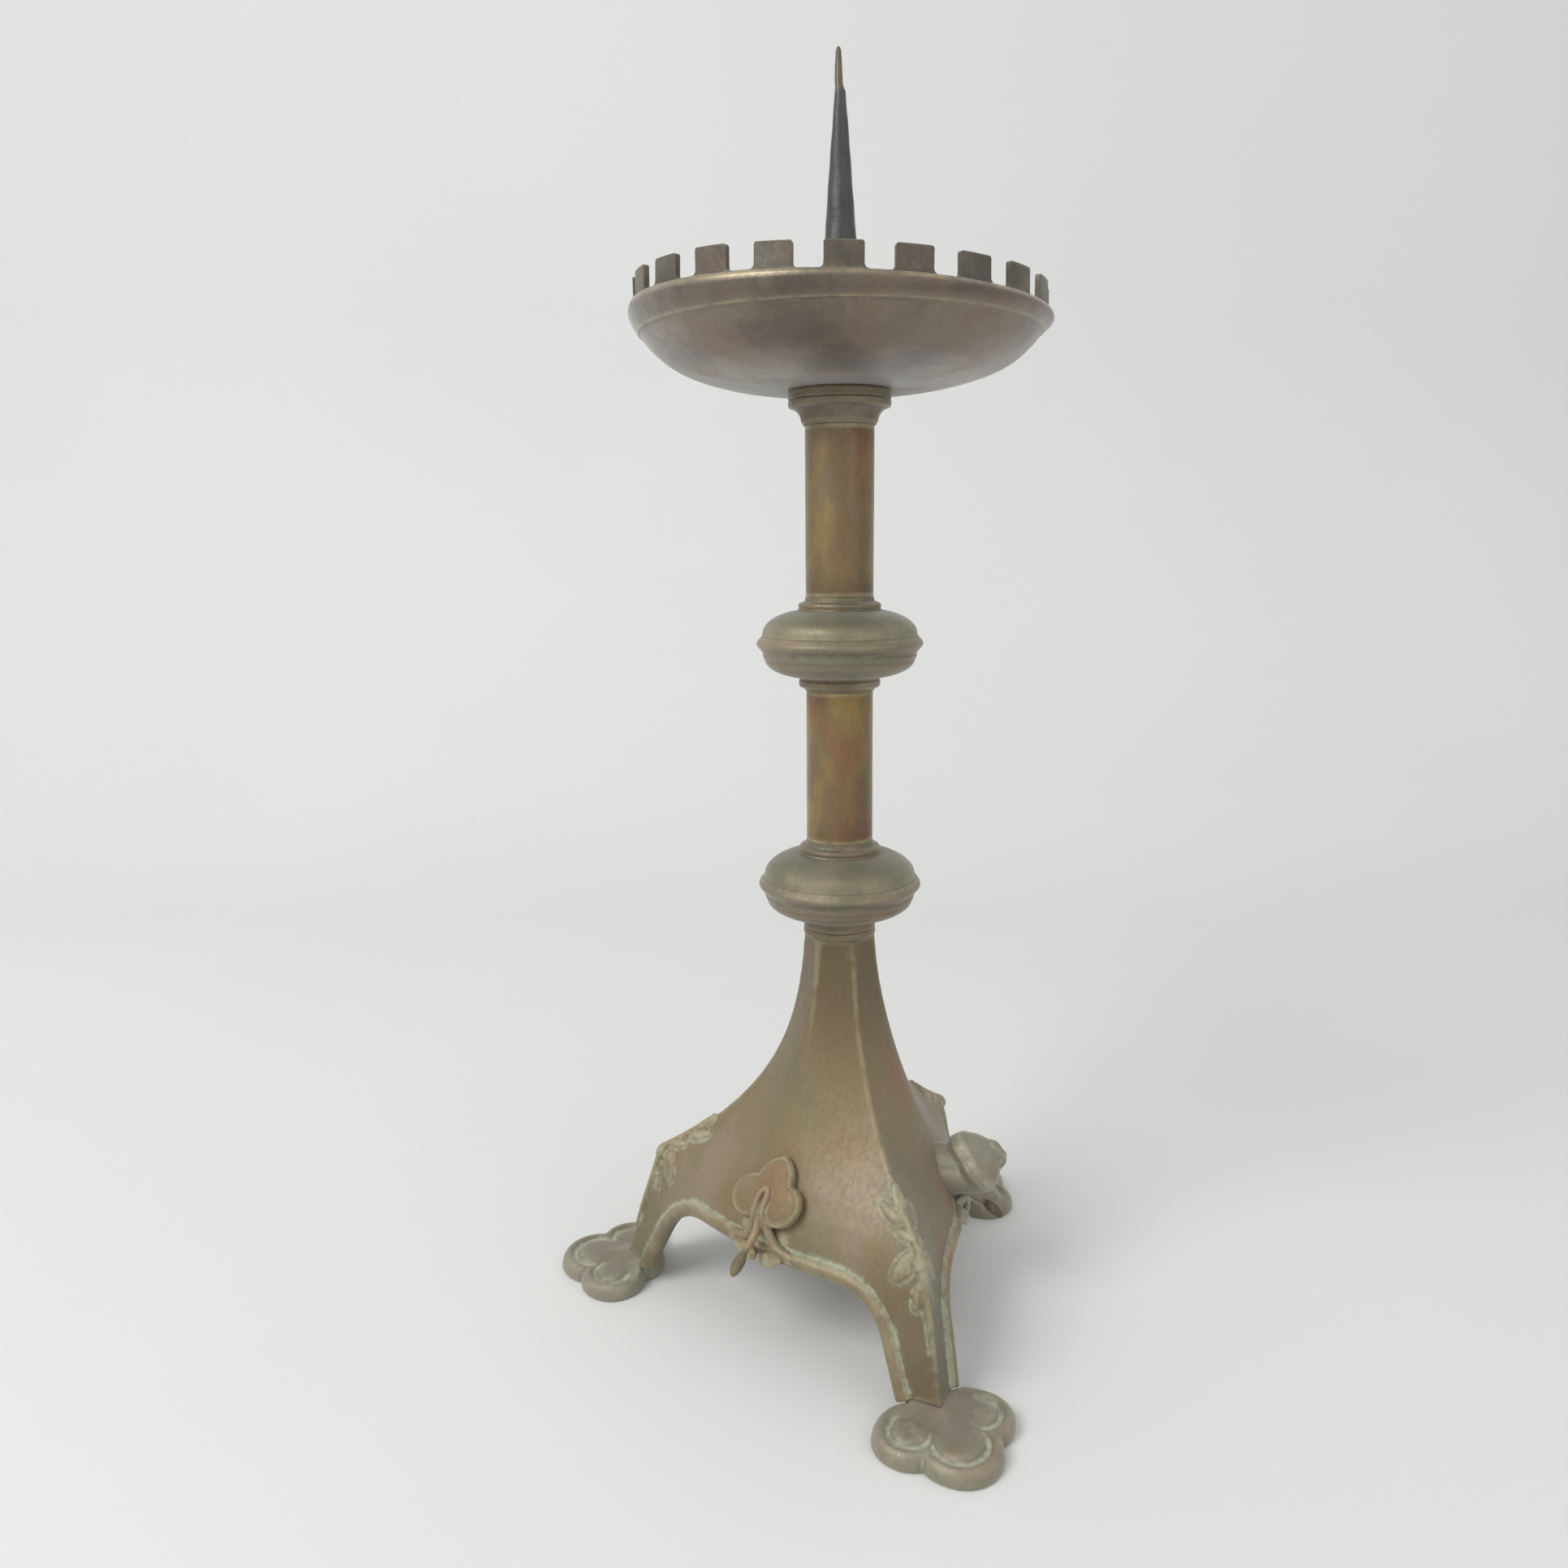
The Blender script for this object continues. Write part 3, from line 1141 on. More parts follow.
# Centre and radius of the circles on one side: of a round lobe, and of half the pointed one
LEAF_SIDES = ((5.7, -1.6), 6.3)
LEAF_TOP = ((3.0, 3.4), 9.2)
LEAF_ROUND = 11.2
LEAF_PILLOW = 0.6
LEAF_ROOT = 48.6
LeafForm = namedtuple("LeafForm", "depth height tilt dome lean size merged")
# Where a leaf's middle lies, out and up, the tilt of its foot, its dome, its lean to one side, its size and
# how far its lobes run together
LEAF_FORMS = {"right": LeafForm(46.2, 51.6, 42.0, 8.6, 0.0, 1.02, 0.5),
              "back": LeafForm(42.0, 51.6, 34.0, 4.5, 0.05, 1.06, 0.25),
              "left": LeafForm(37.7, 51.8, 26.8, 1.6, 0.19, 1.12, 0.0)}


def both_sides(circle):
    """A leaf's circle on its left and on its right."""
    (across, along), radius = circle
    return [((side * across, along), radius) for side in (-1, 1)]


def leaf_reach(turn, form):
    """Distance from a leaf's middle to its trefoil outline: two round lobes and a pointed one."""
    middle = np.zeros(2)
    sides = star_reach(middle, both_sides(LEAF_SIDES), turn)
    halves = [star_reach(middle, [circle], turn) for circle in both_sides(LEAF_TOP)]
    trefoil = np.maximum(sides, np.minimum(*halves))
    return form.size * (trefoil * (1.0 - form.merged) + LEAF_ROUND * form.merged)


def leaf_lift(across, along, form):
    """How high a leaf's face stands over the plane of its rim: a dome with three pillowed lobes."""
    part = np.clip(np.hypot(across, along) / leaf_reach(np.arctan2(along, across), form), 0.0, 1.0)
    across, along = across / form.size, along / form.size
    lobes = [np.hypot(across - x, along - y) / radius for (x, y), radius in both_sides(LEAF_SIDES)]
    top = np.maximum(*[np.hypot(across - x, along - y) for (x, y), _ in both_sides(LEAF_TOP)])
    lobes.append((top - LEAF_TOP[0][0]) / (LEAF_TOP[1] - LEAF_TOP[0][0]))
    lobe = np.clip(np.minimum.reduce(lobes), 0.0, 1.0)
    pillow = LEAF_PILLOW * (1.0 - form.merged) * (1.0 - lobe ** 2.4) ** 0.7
    return form.dome * (1.0 - part ** 2) ** 0.65 + pillow


def on_leaf(form, across, along, lift):
    """Place across, out from and up a face of a point on a leaf, lifted off the plane of its rim."""
    tilt = math.radians(form.tilt)
    return (across + form.lean * along, form.depth - along * math.sin(tilt) + lift * math.cos(tilt),
            form.height + along * math.cos(tilt) + lift * math.sin(tilt))


def leaf_body(azimuth, form):
    """The trefoil itself: a domed face with a raised rim, undercut to its root."""
    turn = full_turn(144)
    reach = leaf_reach(turn, form)
    rim = settings().casting.leaf_rim / MM
    rings = []

    def ring(part, lift):
        place = on_leaf(form, np.cos(turn) * reach * part, np.sin(turn) * reach * part, lift)
        rings.append(from_face(azimuth, *place))
        return place[1]

    for part in np.concatenate([np.linspace(0.02, 0.76, 22)[:-1], np.linspace(0.76, 1.0, 14)]):
        inset = reach * (1.0 - part)
        edge = rim * np.exp(-((inset - 0.8) / 0.6) ** 2) - 0.6 * np.exp(-inset / 0.3)
        ring(part, leaf_lift(np.cos(turn) * reach * part, np.sin(turn) * reach * part, form) + edge)
    for part, sink in ((1.0, 0.9), (0.96, 1.6), (0.92, 2.4), (0.88, 3.4)):
        depth = ring(part, np.full(len(turn), -sink))
    across, z = np.cos(turn) * reach * 0.84, LEAF_ROOT + np.sin(turn) * reach * 0.8
    rings.append(from_face(azimuth, across, np.minimum(face_depth(across, z) - 2.0, depth - 1.0), z))
    return capped_rings(np.array(rings))


def leaf_trim(azimuth, form):
    """Two strands that sweep from the beads into a loop on the leaf, the bud below and a curl each side."""
    root = float(face_reach(50.0))
    out = level_way(azimuth)
    wide = np.array([-out[1], out[0], 0.0])
    facing = out + (0.0, 0.0, 0.3)
    gap = settings().casting.strand_gap / MM
    shapes = []

    def rod(points, radii, count=44):
        line = curve_through(points, count)
        girth = np.interp(np.linspace(0.0, 1.0, count), np.linspace(0.0, 1.0, len(radii)), radii)
        return rod_along(from_face(azimuth, line[:, 0], line[:, 1], line[:, 2]), girth, facing)

    def by_face(across, z, proud):
        return (across, float(face_depth(across, z)) + proud, z)

    def over(across, along, lift):
        return on_leaf(form, across, along, lift + float(leaf_lift(across, along, form)))

    for side in (-1, 1):
        shapes.append(rod([by_face(side * 13.0, 35.3, -0.3), by_face(side * 8.0, 36.6, 0.5),
                           by_face(side * 4.4, 39.6, 1.7), over(side * gap, -5.2, 0.2),
                           over(side * gap * 1.05, -2.4, 0.5), over(side * gap * 0.9, 0.4, 0.5),
                           over(0.0, 2.8, 0.2)], (2.1, 2.0, 1.7, 1.3, 1.05, 0.95, 0.8)))
        curl = from_face(azimuth, side * 5.2, float(face_depth(0.0, 33.0)) + 0.7, 33.7)
        shapes.append(petal(curl, side * wide * 0.9 + (0.0, 0.0, 0.3), facing, 9.6, 5.6, 3.4, 0.2))
    stalk = [over(0.0, -4.8, -0.6), (0.0, root + 8.6, 41.4), (0.0, root + 14.6, 36.6)]
    shapes.append(rod(stalk, (1.5, 1.35, 1.1)))
    start = from_face(azimuth, 0.0, root + 13.4, 37.6)
    tip = from_face(azimuth, 0.0, root + 19.8, 32.0)
    shapes.append(petal((tip + start) / 2.0, tip - start, facing, 8.6, 4.2, 4.2, 0.1))
    return shapes


class CANDLE_OT_leaves(bpy.types.Operator):
    """Cast the three trefoil leaves with their split stems, buds and curls"""
    bl_idname = "candle.leaves"
    bl_label = "Cast Leaves"

    def execute(self, context):
        size = settings().casting.leaf_skin_size
        for name, azimuth in FACES.items():
            form = LEAF_FORMS[name]
            shapes = [leaf_body(azimuth, form)] + leaf_trim(azimuth, form)
            piece = new_piece("leaf_cast_" + name, *gather(shapes))
            lay_skin(piece, size, 2, 60000)
            face_outwards(piece)
            mark_relief(piece, 12, 0.24)
            out = level_way(azimuth)[:2]
            mark(piece, "grime", lambda points: smooth_step(40.5, 38.5, points[:, 2])
                 * smooth_step(48.4, 50.4, points[:, :2] @ out))
            mark(piece, "film", lambda points: self.film(points, out, form))
            material = finish("foot_brass" if name == "right" else "cast_brass")
            hand_over(piece, material, "stand", "cast_brass", "apron_leaf_" + name)
        return {"FINISHED"}

    def film(self, points, out, form):
        """A pale film on the rim of a leaf, beside the strands of its loop and on the curls."""
        tilt = math.radians(form.tilt)
        off, up = points[:, :2] @ out - form.depth, points[:, 2] - form.height
        along = up * math.cos(tilt) - off * math.sin(tilt)
        across = points[:, 1] * out[0] - points[:, 0] * out[1]
        curls = 0.7 * smooth_step(36.0, 34.8, points[:, 2]) * smooth_step(1.5, 3.0, np.abs(across))
        across = across - form.lean * along
        front = off * math.cos(tilt) + up * math.sin(tilt) - leaf_lift(across, along, form)
        inset = leaf_reach(np.arctan2(along, across), form) - np.hypot(across, along)
        rim = np.exp(-((inset - 0.5) / 0.6) ** 2) * smooth_step(-1.6, -0.4, front)
        strands = np.exp(-((np.abs(across) - 1.9) / 0.6) ** 2) * smooth_step(1.5, -1.5, along)
        strands = strands * (along > -6.0)
        return np.maximum(0.62 * np.maximum(rim, strands), curls)


# Stem

# Bore for the tie rod and thickness of the spun sheet
ROD_HOLE = 3.2
SHEET = 1.8
LEVELS = ("lower", "upper")
# Collars as radii and shares of their height. The head carries on a knop's dome in a cove, up to a flat ring
HEAD_COLLAR = ((13.4, 0.0), (13.0, 0.12), (13.05, 0.22), (13.15, 0.36), (13.0, 0.5), (12.3, 0.6),
               (11.2, 0.68), (10.95, 0.8), (10.9, 1.0))
NECK_COLLAR = ((11.75, 0.0), (11.8, 0.3), (11.55, 0.55), (11.6, 0.75), (12.2, 1.0))
FOOT_COLLAR = ((11.2, 0.0), (11.35, 0.16), (12.5, 0.24), (13.0, 0.34), (13.05, 0.6), (12.95, 0.76),
               (12.75, 0.83), (12.75, 0.92), (13.0, 1.0))
# The fine step and the belt of a knop, as radii and heights over the bowl's foot
KNOP_BELT = ((24.2, 5.9), (24.55, 6.9), (24.45, 7.4), (24.55, 7.9), (25.2, 8.7), (26.3, 9.9), (26.55, 10.6),
             (26.35, 11.3), (25.75, 12.1), (25.2, 12.7))
BELT_FILM = 12.4
KNOP_SEAM = 24.8
KNOP_INSIDE = 22.6
# The band and groove of the capital, as radii and depths under its top
CAPITAL_BAND = ((15.7, 5.0), (15.85, 4.2), (15.85, 3.4), (15.65, 3.15), (15.65, 2.8), (15.85, 2.55),
                (15.85, 0.7), (15.6, 0.0))
TUBE_INSIDE = 9.2
TUBE_OUTSIDE = 10.7


def collar_profile(low, high, line):
    """A collar from a line of radii and shares of its height, between two flat faces."""
    made = [(radius, low + part * (high - low)) for radius, part in line]
    return [(ROD_HOLE, low)] + made + [(ROD_HOLE, high)]


def bowl_profile(low, high):
    """The lower half of a knop: a bowl, a fine step and the belt."""
    outer = quarter((12.6, low), (23.9, low + 5.6), True)
    belt = [(radius, low + rise) for radius, rise in KNOP_BELT]
    inner = [(KNOP_INSIDE, high), (KNOP_INSIDE, low + 7.4)]
    inner += quarter((12.0, low + SHEET), (22.4, low + 6.6), True)[::-1]
    return [(ROD_HOLE, low)] + outer + belt + [(KNOP_SEAM, high)] + inner + [(ROD_HOLE, low + SHEET)]


def dome_profile(low, high):
    """The upper half of a knop."""
    outer = [(KNOP_SEAM, low), (24.75, low + 0.3)] + quarter((24.6, low + 0.8), (12.9, high), False)
    inner = quarter((KNOP_INSIDE, low), (12.0, high - SHEET), False)[::-1]
    return outer + [(ROD_HOLE, high), (ROD_HOLE, high - SHEET)] + inner


def tube_profile(low, high):
    return [(TUBE_INSIDE, low), (TUBE_OUTSIDE, low), (TUBE_OUTSIDE, high), (TUBE_INSIDE, high)]


def capital_profile(low, high):
    """The flared capital under the pan, with a band and a groove."""
    foot = [(ROD_HOLE, low), (11.3, low), (11.5, low + 0.7), (11.8, low + 1.0)]
    flare = quarter((11.9, low + 1.2), (15.3, high - 5.2), False, 8)
    band = [(radius, high - drop) for radius, drop in CAPITAL_BAND]
    return foot + flare + band + [(ROD_HOLE, high)]


class CANDLE_OT_knops(bpy.types.Operator):
    """Spin the bowls and domes of the two knops"""
    bl_idname = "candle.knops"
    bl_label = "Spin Knops"

    def execute(self, context):
        for level in LEVELS:
            low, high = ends(level + "_knop_bowl")
            bowl = turned(level + "_bowl", bowl_profile(low, high), KNOP_STEP)
            mark(bowl, "film", lambda points: 0.62 * np.exp(-((points[:, 2] - low - BELT_FILM) / 0.5) ** 2))
            hand_over(bowl, finish("bowl_brass"), "stand", "spun_brass", level + "_knop_bowl")
            low, high = ends(level + "_knop_dome")
            dome = turned(level + "_dome", dome_profile(low, high), KNOP_STEP)
            hand_over(dome, finish("knop_brass"), "stand", "spun_brass", level + "_knop_dome")
        return {"FINISHED"}


class CANDLE_OT_collars(bpy.types.Operator):
    """Turn the neck ring, the collars and the capital"""
    bl_idname = "candle.collars"
    bl_label = "Turn Collars"

    def execute(self, context):
        for level in LEVELS:
            below, line = ("neck_ring", NECK_COLLAR) if level == "lower" else ("lower_tube", FOOT_COLLAR)
            profile = collar_profile(ends(below)[1], ends(level + "_knop_bowl")[0], line)
            piece = turned(level + "_foot_collar", profile, FINE_STEP)
            hand_over(piece, finish("turned_brass"), "stand", "turned_brass", level + "_knop_bottom_collar")
            profile = collar_profile(ends(level + "_knop_dome")[1], ends(level + "_tube")[0], HEAD_COLLAR)
            piece = turned(level + "_head_collar", profile, FINE_STEP)
            hand_over(piece, finish("turned_brass"), "stand", "turned_brass", level + "_knop_top_collar")
        low, high = ends("neck_ring")
        profile = [(ROD_HOLE, low), (11.75, low), (11.9, low + 1.1), (11.6, high), (ROD_HOLE, high)]
        ring = turned("neck_band", profile, FINE_STEP)
        hand_over(ring, finish("turned_brass"), "stand", "turned_brass", "neck_ring")
        low, high = ends("upper_tube")[1], ends("capital")[1]
        piece = turned("flared_capital", capital_profile(low, high), FINE_STEP, seams=(low,))
        hand_over(piece, finish("turned_brass"), "stand", "turned_brass", "capital")
        return {"FINISHED"}


class CANDLE_OT_tubes(bpy.types.Operator):
    """Draw the two tubes of the stem"""
    bl_idname = "candle.tubes"
    bl_label = "Draw Tubes"

    def execute(self, context):
        for level in LEVELS:
            low, high = ends(level + "_tube")
            piece = turned(level + "_stem_tube", tube_profile(low, high), seams=(low, high))
            mark(piece, "grime", lambda points: 0.25 * smooth_step(-2.0, 9.0, points[:, :2] @ DULL_WAY)
                 + 0.22 * smooth_step(10.0, 0.0, np.minimum(points[:, 2] - low, high - points[:, 2])))
            hand_over(piece, finish("tube_brass"), "stand", "tube_brass", level + "_tube")
        return {"FINISHED"}


# Pan, gallery and spike

PAN_SEAT, PAN_TOP = ends("drip_pan")
PAN_HOLE = 9.4
PAN_FLAT = 20.0
# The dish bends at one radius up to a lean, then more tightly up to the groove under the rim
PAN_DISH = 78.0
DISH_LEAN = math.radians(20.0)
GROOVE_LEAN = math.radians(54.0)
RIM_LEAN = math.radians(58.0)
RIM_FOOT = 61.3
# The rolled rim, as radii and depths under its top
PAN_RIM = ((62.6, 4.6), (63.5, 3.2), (63.75, 2.0), (63.5, 0.9), (62.9, 0.0))
GALLERY_FOOT, GALLERY_TOP = ends("gallery")
GALLERY_OUT = float(solid("gallery")[1][0])
GALLERY_WALL = 1.7
GALLERY_EDGE = 0.45
SEAT_PLAY = 0.12
TOOTH_FOOT = PAN_TOP + 0.2
TOOTH_CORNER = 0.8


def tilted(points):
    """The slight slope of a bent pan: little in the bowl, more in the rim and the gallery."""
    pan = settings().pan
    slope = np.interp(points[..., 2], [PAN_SEAT + 1.0, PAN_SEAT + 8.0, PAN_TOP - 6.0, TOOTH_FOOT],
                      [0.0, math.tan(pan.bowl_tilt), math.tan(pan.bowl_tilt), math.tan(pan.rim_tilt)])
    drop = slope * (points[..., :2] @ DULL_WAY)
    return np.concatenate([points[..., :2], points[..., 2:] - drop[..., None]], -1)


def pan_arc(wall):
    """The curve of the pan from its flat middle up to its rim, at a depth inside the metal."""
    def on_arc(centre, radius, lean):
        return centre[0] + radius * math.sin(lean), centre[1] - radius * math.cos(lean)

    middle = (PAN_FLAT, PAN_SEAT + PAN_DISH)
    line = [on_arc(middle, PAN_DISH - wall, lean) for lean in np.linspace(0.0, DISH_LEAN, 9)]
    start = on_arc(middle, PAN_DISH, DISH_LEAN)
    bend = (RIM_FOOT - start[0]) / (math.sin(RIM_LEAN) - math.sin(DISH_LEAN))
    middle = on_arc(start, -bend, DISH_LEAN)
    return line + [on_arc(middle, bend - wall, lean) for lean in np.linspace(DISH_LEAN, GROOVE_LEAN, 10)[1:]]


def pan_profile():
    """The drip pan: a dished bowl, a fine groove, a rolled rim and a seat for the gallery."""
    outer = pan_arc(0.0)
    groove = outer[-1]
    rim = [(groove[0] + 0.3, groove[1] + 0.42), (groove[0] + 0.9, groove[1] + 0.66)]
    rim += [(radius, PAN_TOP - drop) for radius, drop in PAN_RIM]
    seat = GALLERY_OUT + SEAT_PLAY
    seat = [(seat, PAN_TOP), (seat, GALLERY_FOOT), (59.9, GALLERY_FOOT)]
    return [(PAN_HOLE, PAN_SEAT)] + outer + rim + seat + pan_arc(SHEET)[::-1] + [(PAN_HOLE, PAN_SEAT + SHEET)]


class CANDLE_OT_pan(bpy.types.Operator):
    """Spin the drip pan"""
    bl_idname = "candle.pan"
    bl_label = "Spin Pan"

    def execute(self, context):
        piece = turned("spun_pan", pan_profile(), settle=tilted, wear=self.worn_lip)
        mark(piece, "grime", self.grime)
        hand_over(piece, finish("pan_brass"), "pan", "spun_brass", "drip_pan")
        return {"FINISHED"}

    def grime(self, points):
        """Brown dirt in the middle of the pan and under its rim."""
        middle = 0.42 * smooth_step(36.0, 16.0, np.hypot(points[:, 0], points[:, 1]))
        return middle + 0.25 * smooth_step(PAN_TOP - 6.0, PAN_TOP - 4.5, points[:, 2])

    def worn_lip(self, profile):
        """The top edge of the rim is rubbed pale, and the bead over its groove a little."""
        lip = smooth_step(PAN_TOP - 2.2, PAN_TOP - 0.3, profile[:, 1])
        bead = 0.6 * np.exp(-((profile[:, 1] - PAN_TOP + 6.3) / 0.35) ** 2) * (profile[:, 0] > 59.0)
        return np.maximum(lip, bead)


def gallery_bay():
    """One bay of the gallery: its part of the strip and one tooth with hollow corners at its foot."""
    pan = settings().pan
    half_bay = math.pi / pan.merlons
    half = half_bay - pan.merlon_gap / MM / GALLERY_OUT / 2.0
    fillet = pan.fillet / MM
    flare = fillet / GALLERY_OUT
    across = np.linspace(-1.0, 1.0, 9)
    left = np.linspace(-half_bay, -half - flare, 4)[:-1]
    right = np.linspace(half + flare, half_bay, 4)[1:]
    first_column = len(left)
    last_column = first_column + len(across) - 1
    shape = bmesh.new()

    def row(angles, z, out):
        points = round_axis(GALLERY_OUT - (0.0 if out else GALLERY_WALL), angles, z) * MM
        return [shape.verts.new(point) for point in points]

    def join(first, second):
        for a, b, c, d in zip(first, first[1:], second[1:], second):
            shape.faces.new((a, b, c, d))

    strip_angles = np.concatenate([left, across * (half + flare), right])
    tooth = []
    for sweep in np.radians([30.0, 60.0, 90.0]):
        tooth.append((half + flare * (1.0 - math.sin(sweep)), TOOTH_FOOT + fillet * (1.0 - math.cos(sweep))))
    tooth.extend((half, z) for z in np.linspace(TOOTH_FOOT + fillet, GALLERY_TOP - TOOTH_CORNER, 4)[1:])
    for sweep in np.radians([30.0, 60.0, 80.0]):
        inward = TOOTH_CORNER / GALLERY_OUT * (1.0 - math.cos(sweep))
        tooth.append((half - inward, GALLERY_TOP - TOOTH_CORNER * (1.0 - math.sin(sweep))))
    walls = []
    for out in (True, False):
        strip = [row(strip_angles, z, out) for z in np.linspace(GALLERY_FOOT, TOOTH_FOOT, 4)]
        rows = [strip[-1][first_column:last_column + 1]]
        rows += [row(across * width, z, out) for width, z in tooth]
        for stack in (strip, rows):
            for first, second in zip(stack, stack[1:]):
                join(first, second)
        walls.append((strip, rows))
    (strip, rows), (strip_in, rows_in) = walls
    join(strip[0], strip_in[0])
    join(strip[-1][:first_column + 1], strip_in[-1][:first_column + 1])
    join(strip[-1][last_column:], strip_in[-1][last_column:])
    join(rows[-1], rows_in[-1])
    for side in (0, -1):
        join([line[side] for line in rows], [line[side] for line in rows_in])
    mesh = bpy.data.meshes.new("gallery_bay")
    shape.to_mesh(mesh)
    shape.free()
    return mesh


@node_group("Around Stem", "GeometryNodeTree",
            {"Geometry": ("Geometry", None), "Count": ("Int", 3), "Start": ("Float", 0.0),
             "Foot": ("Float", 0.0), "Unevenness": ("Float", 0.0), "Lean": ("Float", 0.0), "Seed": ("Int", 0),
             "Material": ("Material", None)},
            {"Geometry": "Geometry"})
def around_stem(tree, take):
    """Copies a mesh round the stem, each copy a little taller or shorter and leaning in or out."""
    line = put(tree, "GeometryNodeMeshLine", {"Count": take["Count"], "Offset": (0.0, 0.0, 0.0)})
    index = put(tree, "GeometryNodeInputIndex").outputs[0]
    turn = figure(tree, "DIVIDE", times(tree, index, TURN), take["Count"])
    turn = put(tree, "ShaderNodeCombineXYZ", {2: plus(tree, turn, take["Start"])}).outputs[0]
    turn = put(tree, "FunctionNodeEulerToRotation", {0: turn}).outputs[0]
    copies = put(tree, "GeometryNodeInstanceOnPoints",
                 {"Points": line.outputs[0], "Instance": take["Geometry"], "Rotation": turn}).outputs[0]
    marked = put(tree, "GeometryNodeStoreNamedAttribute", {"Geometry": copies, "Name": "bay", "Value": index},
                 data_type="FLOAT", domain="INSTANCE").outputs[0]
    whole = put(tree, "GeometryNodeRealizeInstances", {"Geometry": marked}).outputs[0]
    bay = put(tree, "GeometryNodeInputNamedAttribute", {"Name": "bay"}, data_type="FLOAT").outputs[0]

    def chance(offset):
        seed = plus(tree, take["Seed"], offset)
        made = put(tree, "FunctionNodeRandomValue", {"ID": bay, "Seed": seed}, data_type="FLOAT")
        made.inputs[2].default_value = -1.0
        made.inputs[3].default_value = 1.0
        return made.outputs[1]

    place = put(tree, "GeometryNodeInputPosition").outputs[0]
    parts = put(tree, "ShaderNodeSeparateXYZ", {0: place}).outputs
    above = figure(tree, "MAXIMUM", figure(tree, "SUBTRACT", parts[2], take["Foot"]), 0.0)
    taller = times(tree, times(tree, above, chance(0.0)), take["Unevenness"])
    out = times(tree, times(tree, above, chance(1.0)), take["Lean"])
    flat = put(tree, "ShaderNodeCombineXYZ", {0: parts[0], 1: parts[1]}).outputs[0]
    way = put(tree, "ShaderNodeVectorMath", {0: flat}, operation="NORMALIZE").outputs[0]
    scaled = put(tree, "ShaderNodeVectorMath", {0: way, "Scale": out}, operation="SCALE").outputs[0]
    up = put(tree, "ShaderNodeCombineXYZ", {2: taller}).outputs[0]
    shift = put(tree, "ShaderNodeVectorMath", {0: scaled, 1: up}).outputs[0]
    moved = put(tree, "GeometryNodeSetPosition", {"Geometry": whole, "Offset": shift}).outputs[0]
    merged = put(tree, "GeometryNodeMergeByDistance", {"Geometry": moved, "Distance": 2e-6}).outputs[0]
    coated = put(tree, "GeometryNodeSetMaterial", {"Geometry": merged, "Material": take["Material"]})
    return {"Geometry": coated.outputs[0]}


def copy_round(name, mesh, values):
    """An object whose mesh is copied round the stem, turned into a plain mesh."""
    piece = bpy.data.objects.new(name, mesh)
    bpy.context.scene.collection.objects.link(piece)
    copies = piece.modifiers.new("Around", "NODES")
    copies.node_group = around_stem()
    for socket in copies.node_group.interface.items_tree:
        if socket.in_out == "INPUT" and socket.name in values:
            copies[socket.identifier] = values[socket.name]
    settle_modifiers(piece)
    return piece


class CANDLE_OT_gallery(bpy.types.Operator):
    """Saw the battlemented gallery that stands in the pan's rim"""
    bl_idname = "candle.gallery"
    bl_label = "Saw Gallery"

    def execute(self, context):
        pan = settings().pan
        height = GALLERY_TOP - TOOTH_FOOT
        values = {"Count": pan.merlons, "Start": pan.merlon_start, "Foot": TOOTH_FOOT * MM,
                  "Unevenness": pan.unevenness, "Lean": pan.lean / MM / height, "Seed": pan.seed,
                  "Material": finish("strip_brass")}
        piece = copy_round("battlement", gallery_bay(), values)
        face_outwards(piece)
        edges = piece.modifiers.new("Edges", "BEVEL")
        edges.width = GALLERY_EDGE * MM
        edges.segments = 3
        edges.limit_method = "ANGLE"
        edges.angle_limit = math.radians(50.0)
        settle_modifiers(piece)
        mesh = piece.data
        points = mesh_points(mesh)
        z = points[:, 2]
        keep_mask(mesh, "hollow", 0.5 * np.exp(-((z - TOOTH_FOOT) / 0.6) ** 2))
        keep_mask(mesh, "crest", smooth_step(GALLERY_TOP - 0.9, GALLERY_TOP - 0.1, z) * 0.8)
        mesh.vertices.foreach_set("co", (tilted(points) * MM).ravel())
        face_outwards(piece)
        hand_over(piece, finish("strip_brass"), "pan", "strip_brass", "gallery")
        return {"FINISHED"}


# Heights over the spike's foot and the radii there, up to the shoulder and on to the tip
SPIKE_LINE = ((0.0, 9.0), (2.1, 9.0), (2.4, 8.8), (3.4, 8.2), (20.0, 6.7), (60.0, 3.55), (84.0, 1.75),
              (85.4, 1.35), (91.0, 1.1), (95.0, 0.8), (95.9, 0.5))
SPIKE_TIP = 0.12
SPIKE_SHOULDER = 84.0


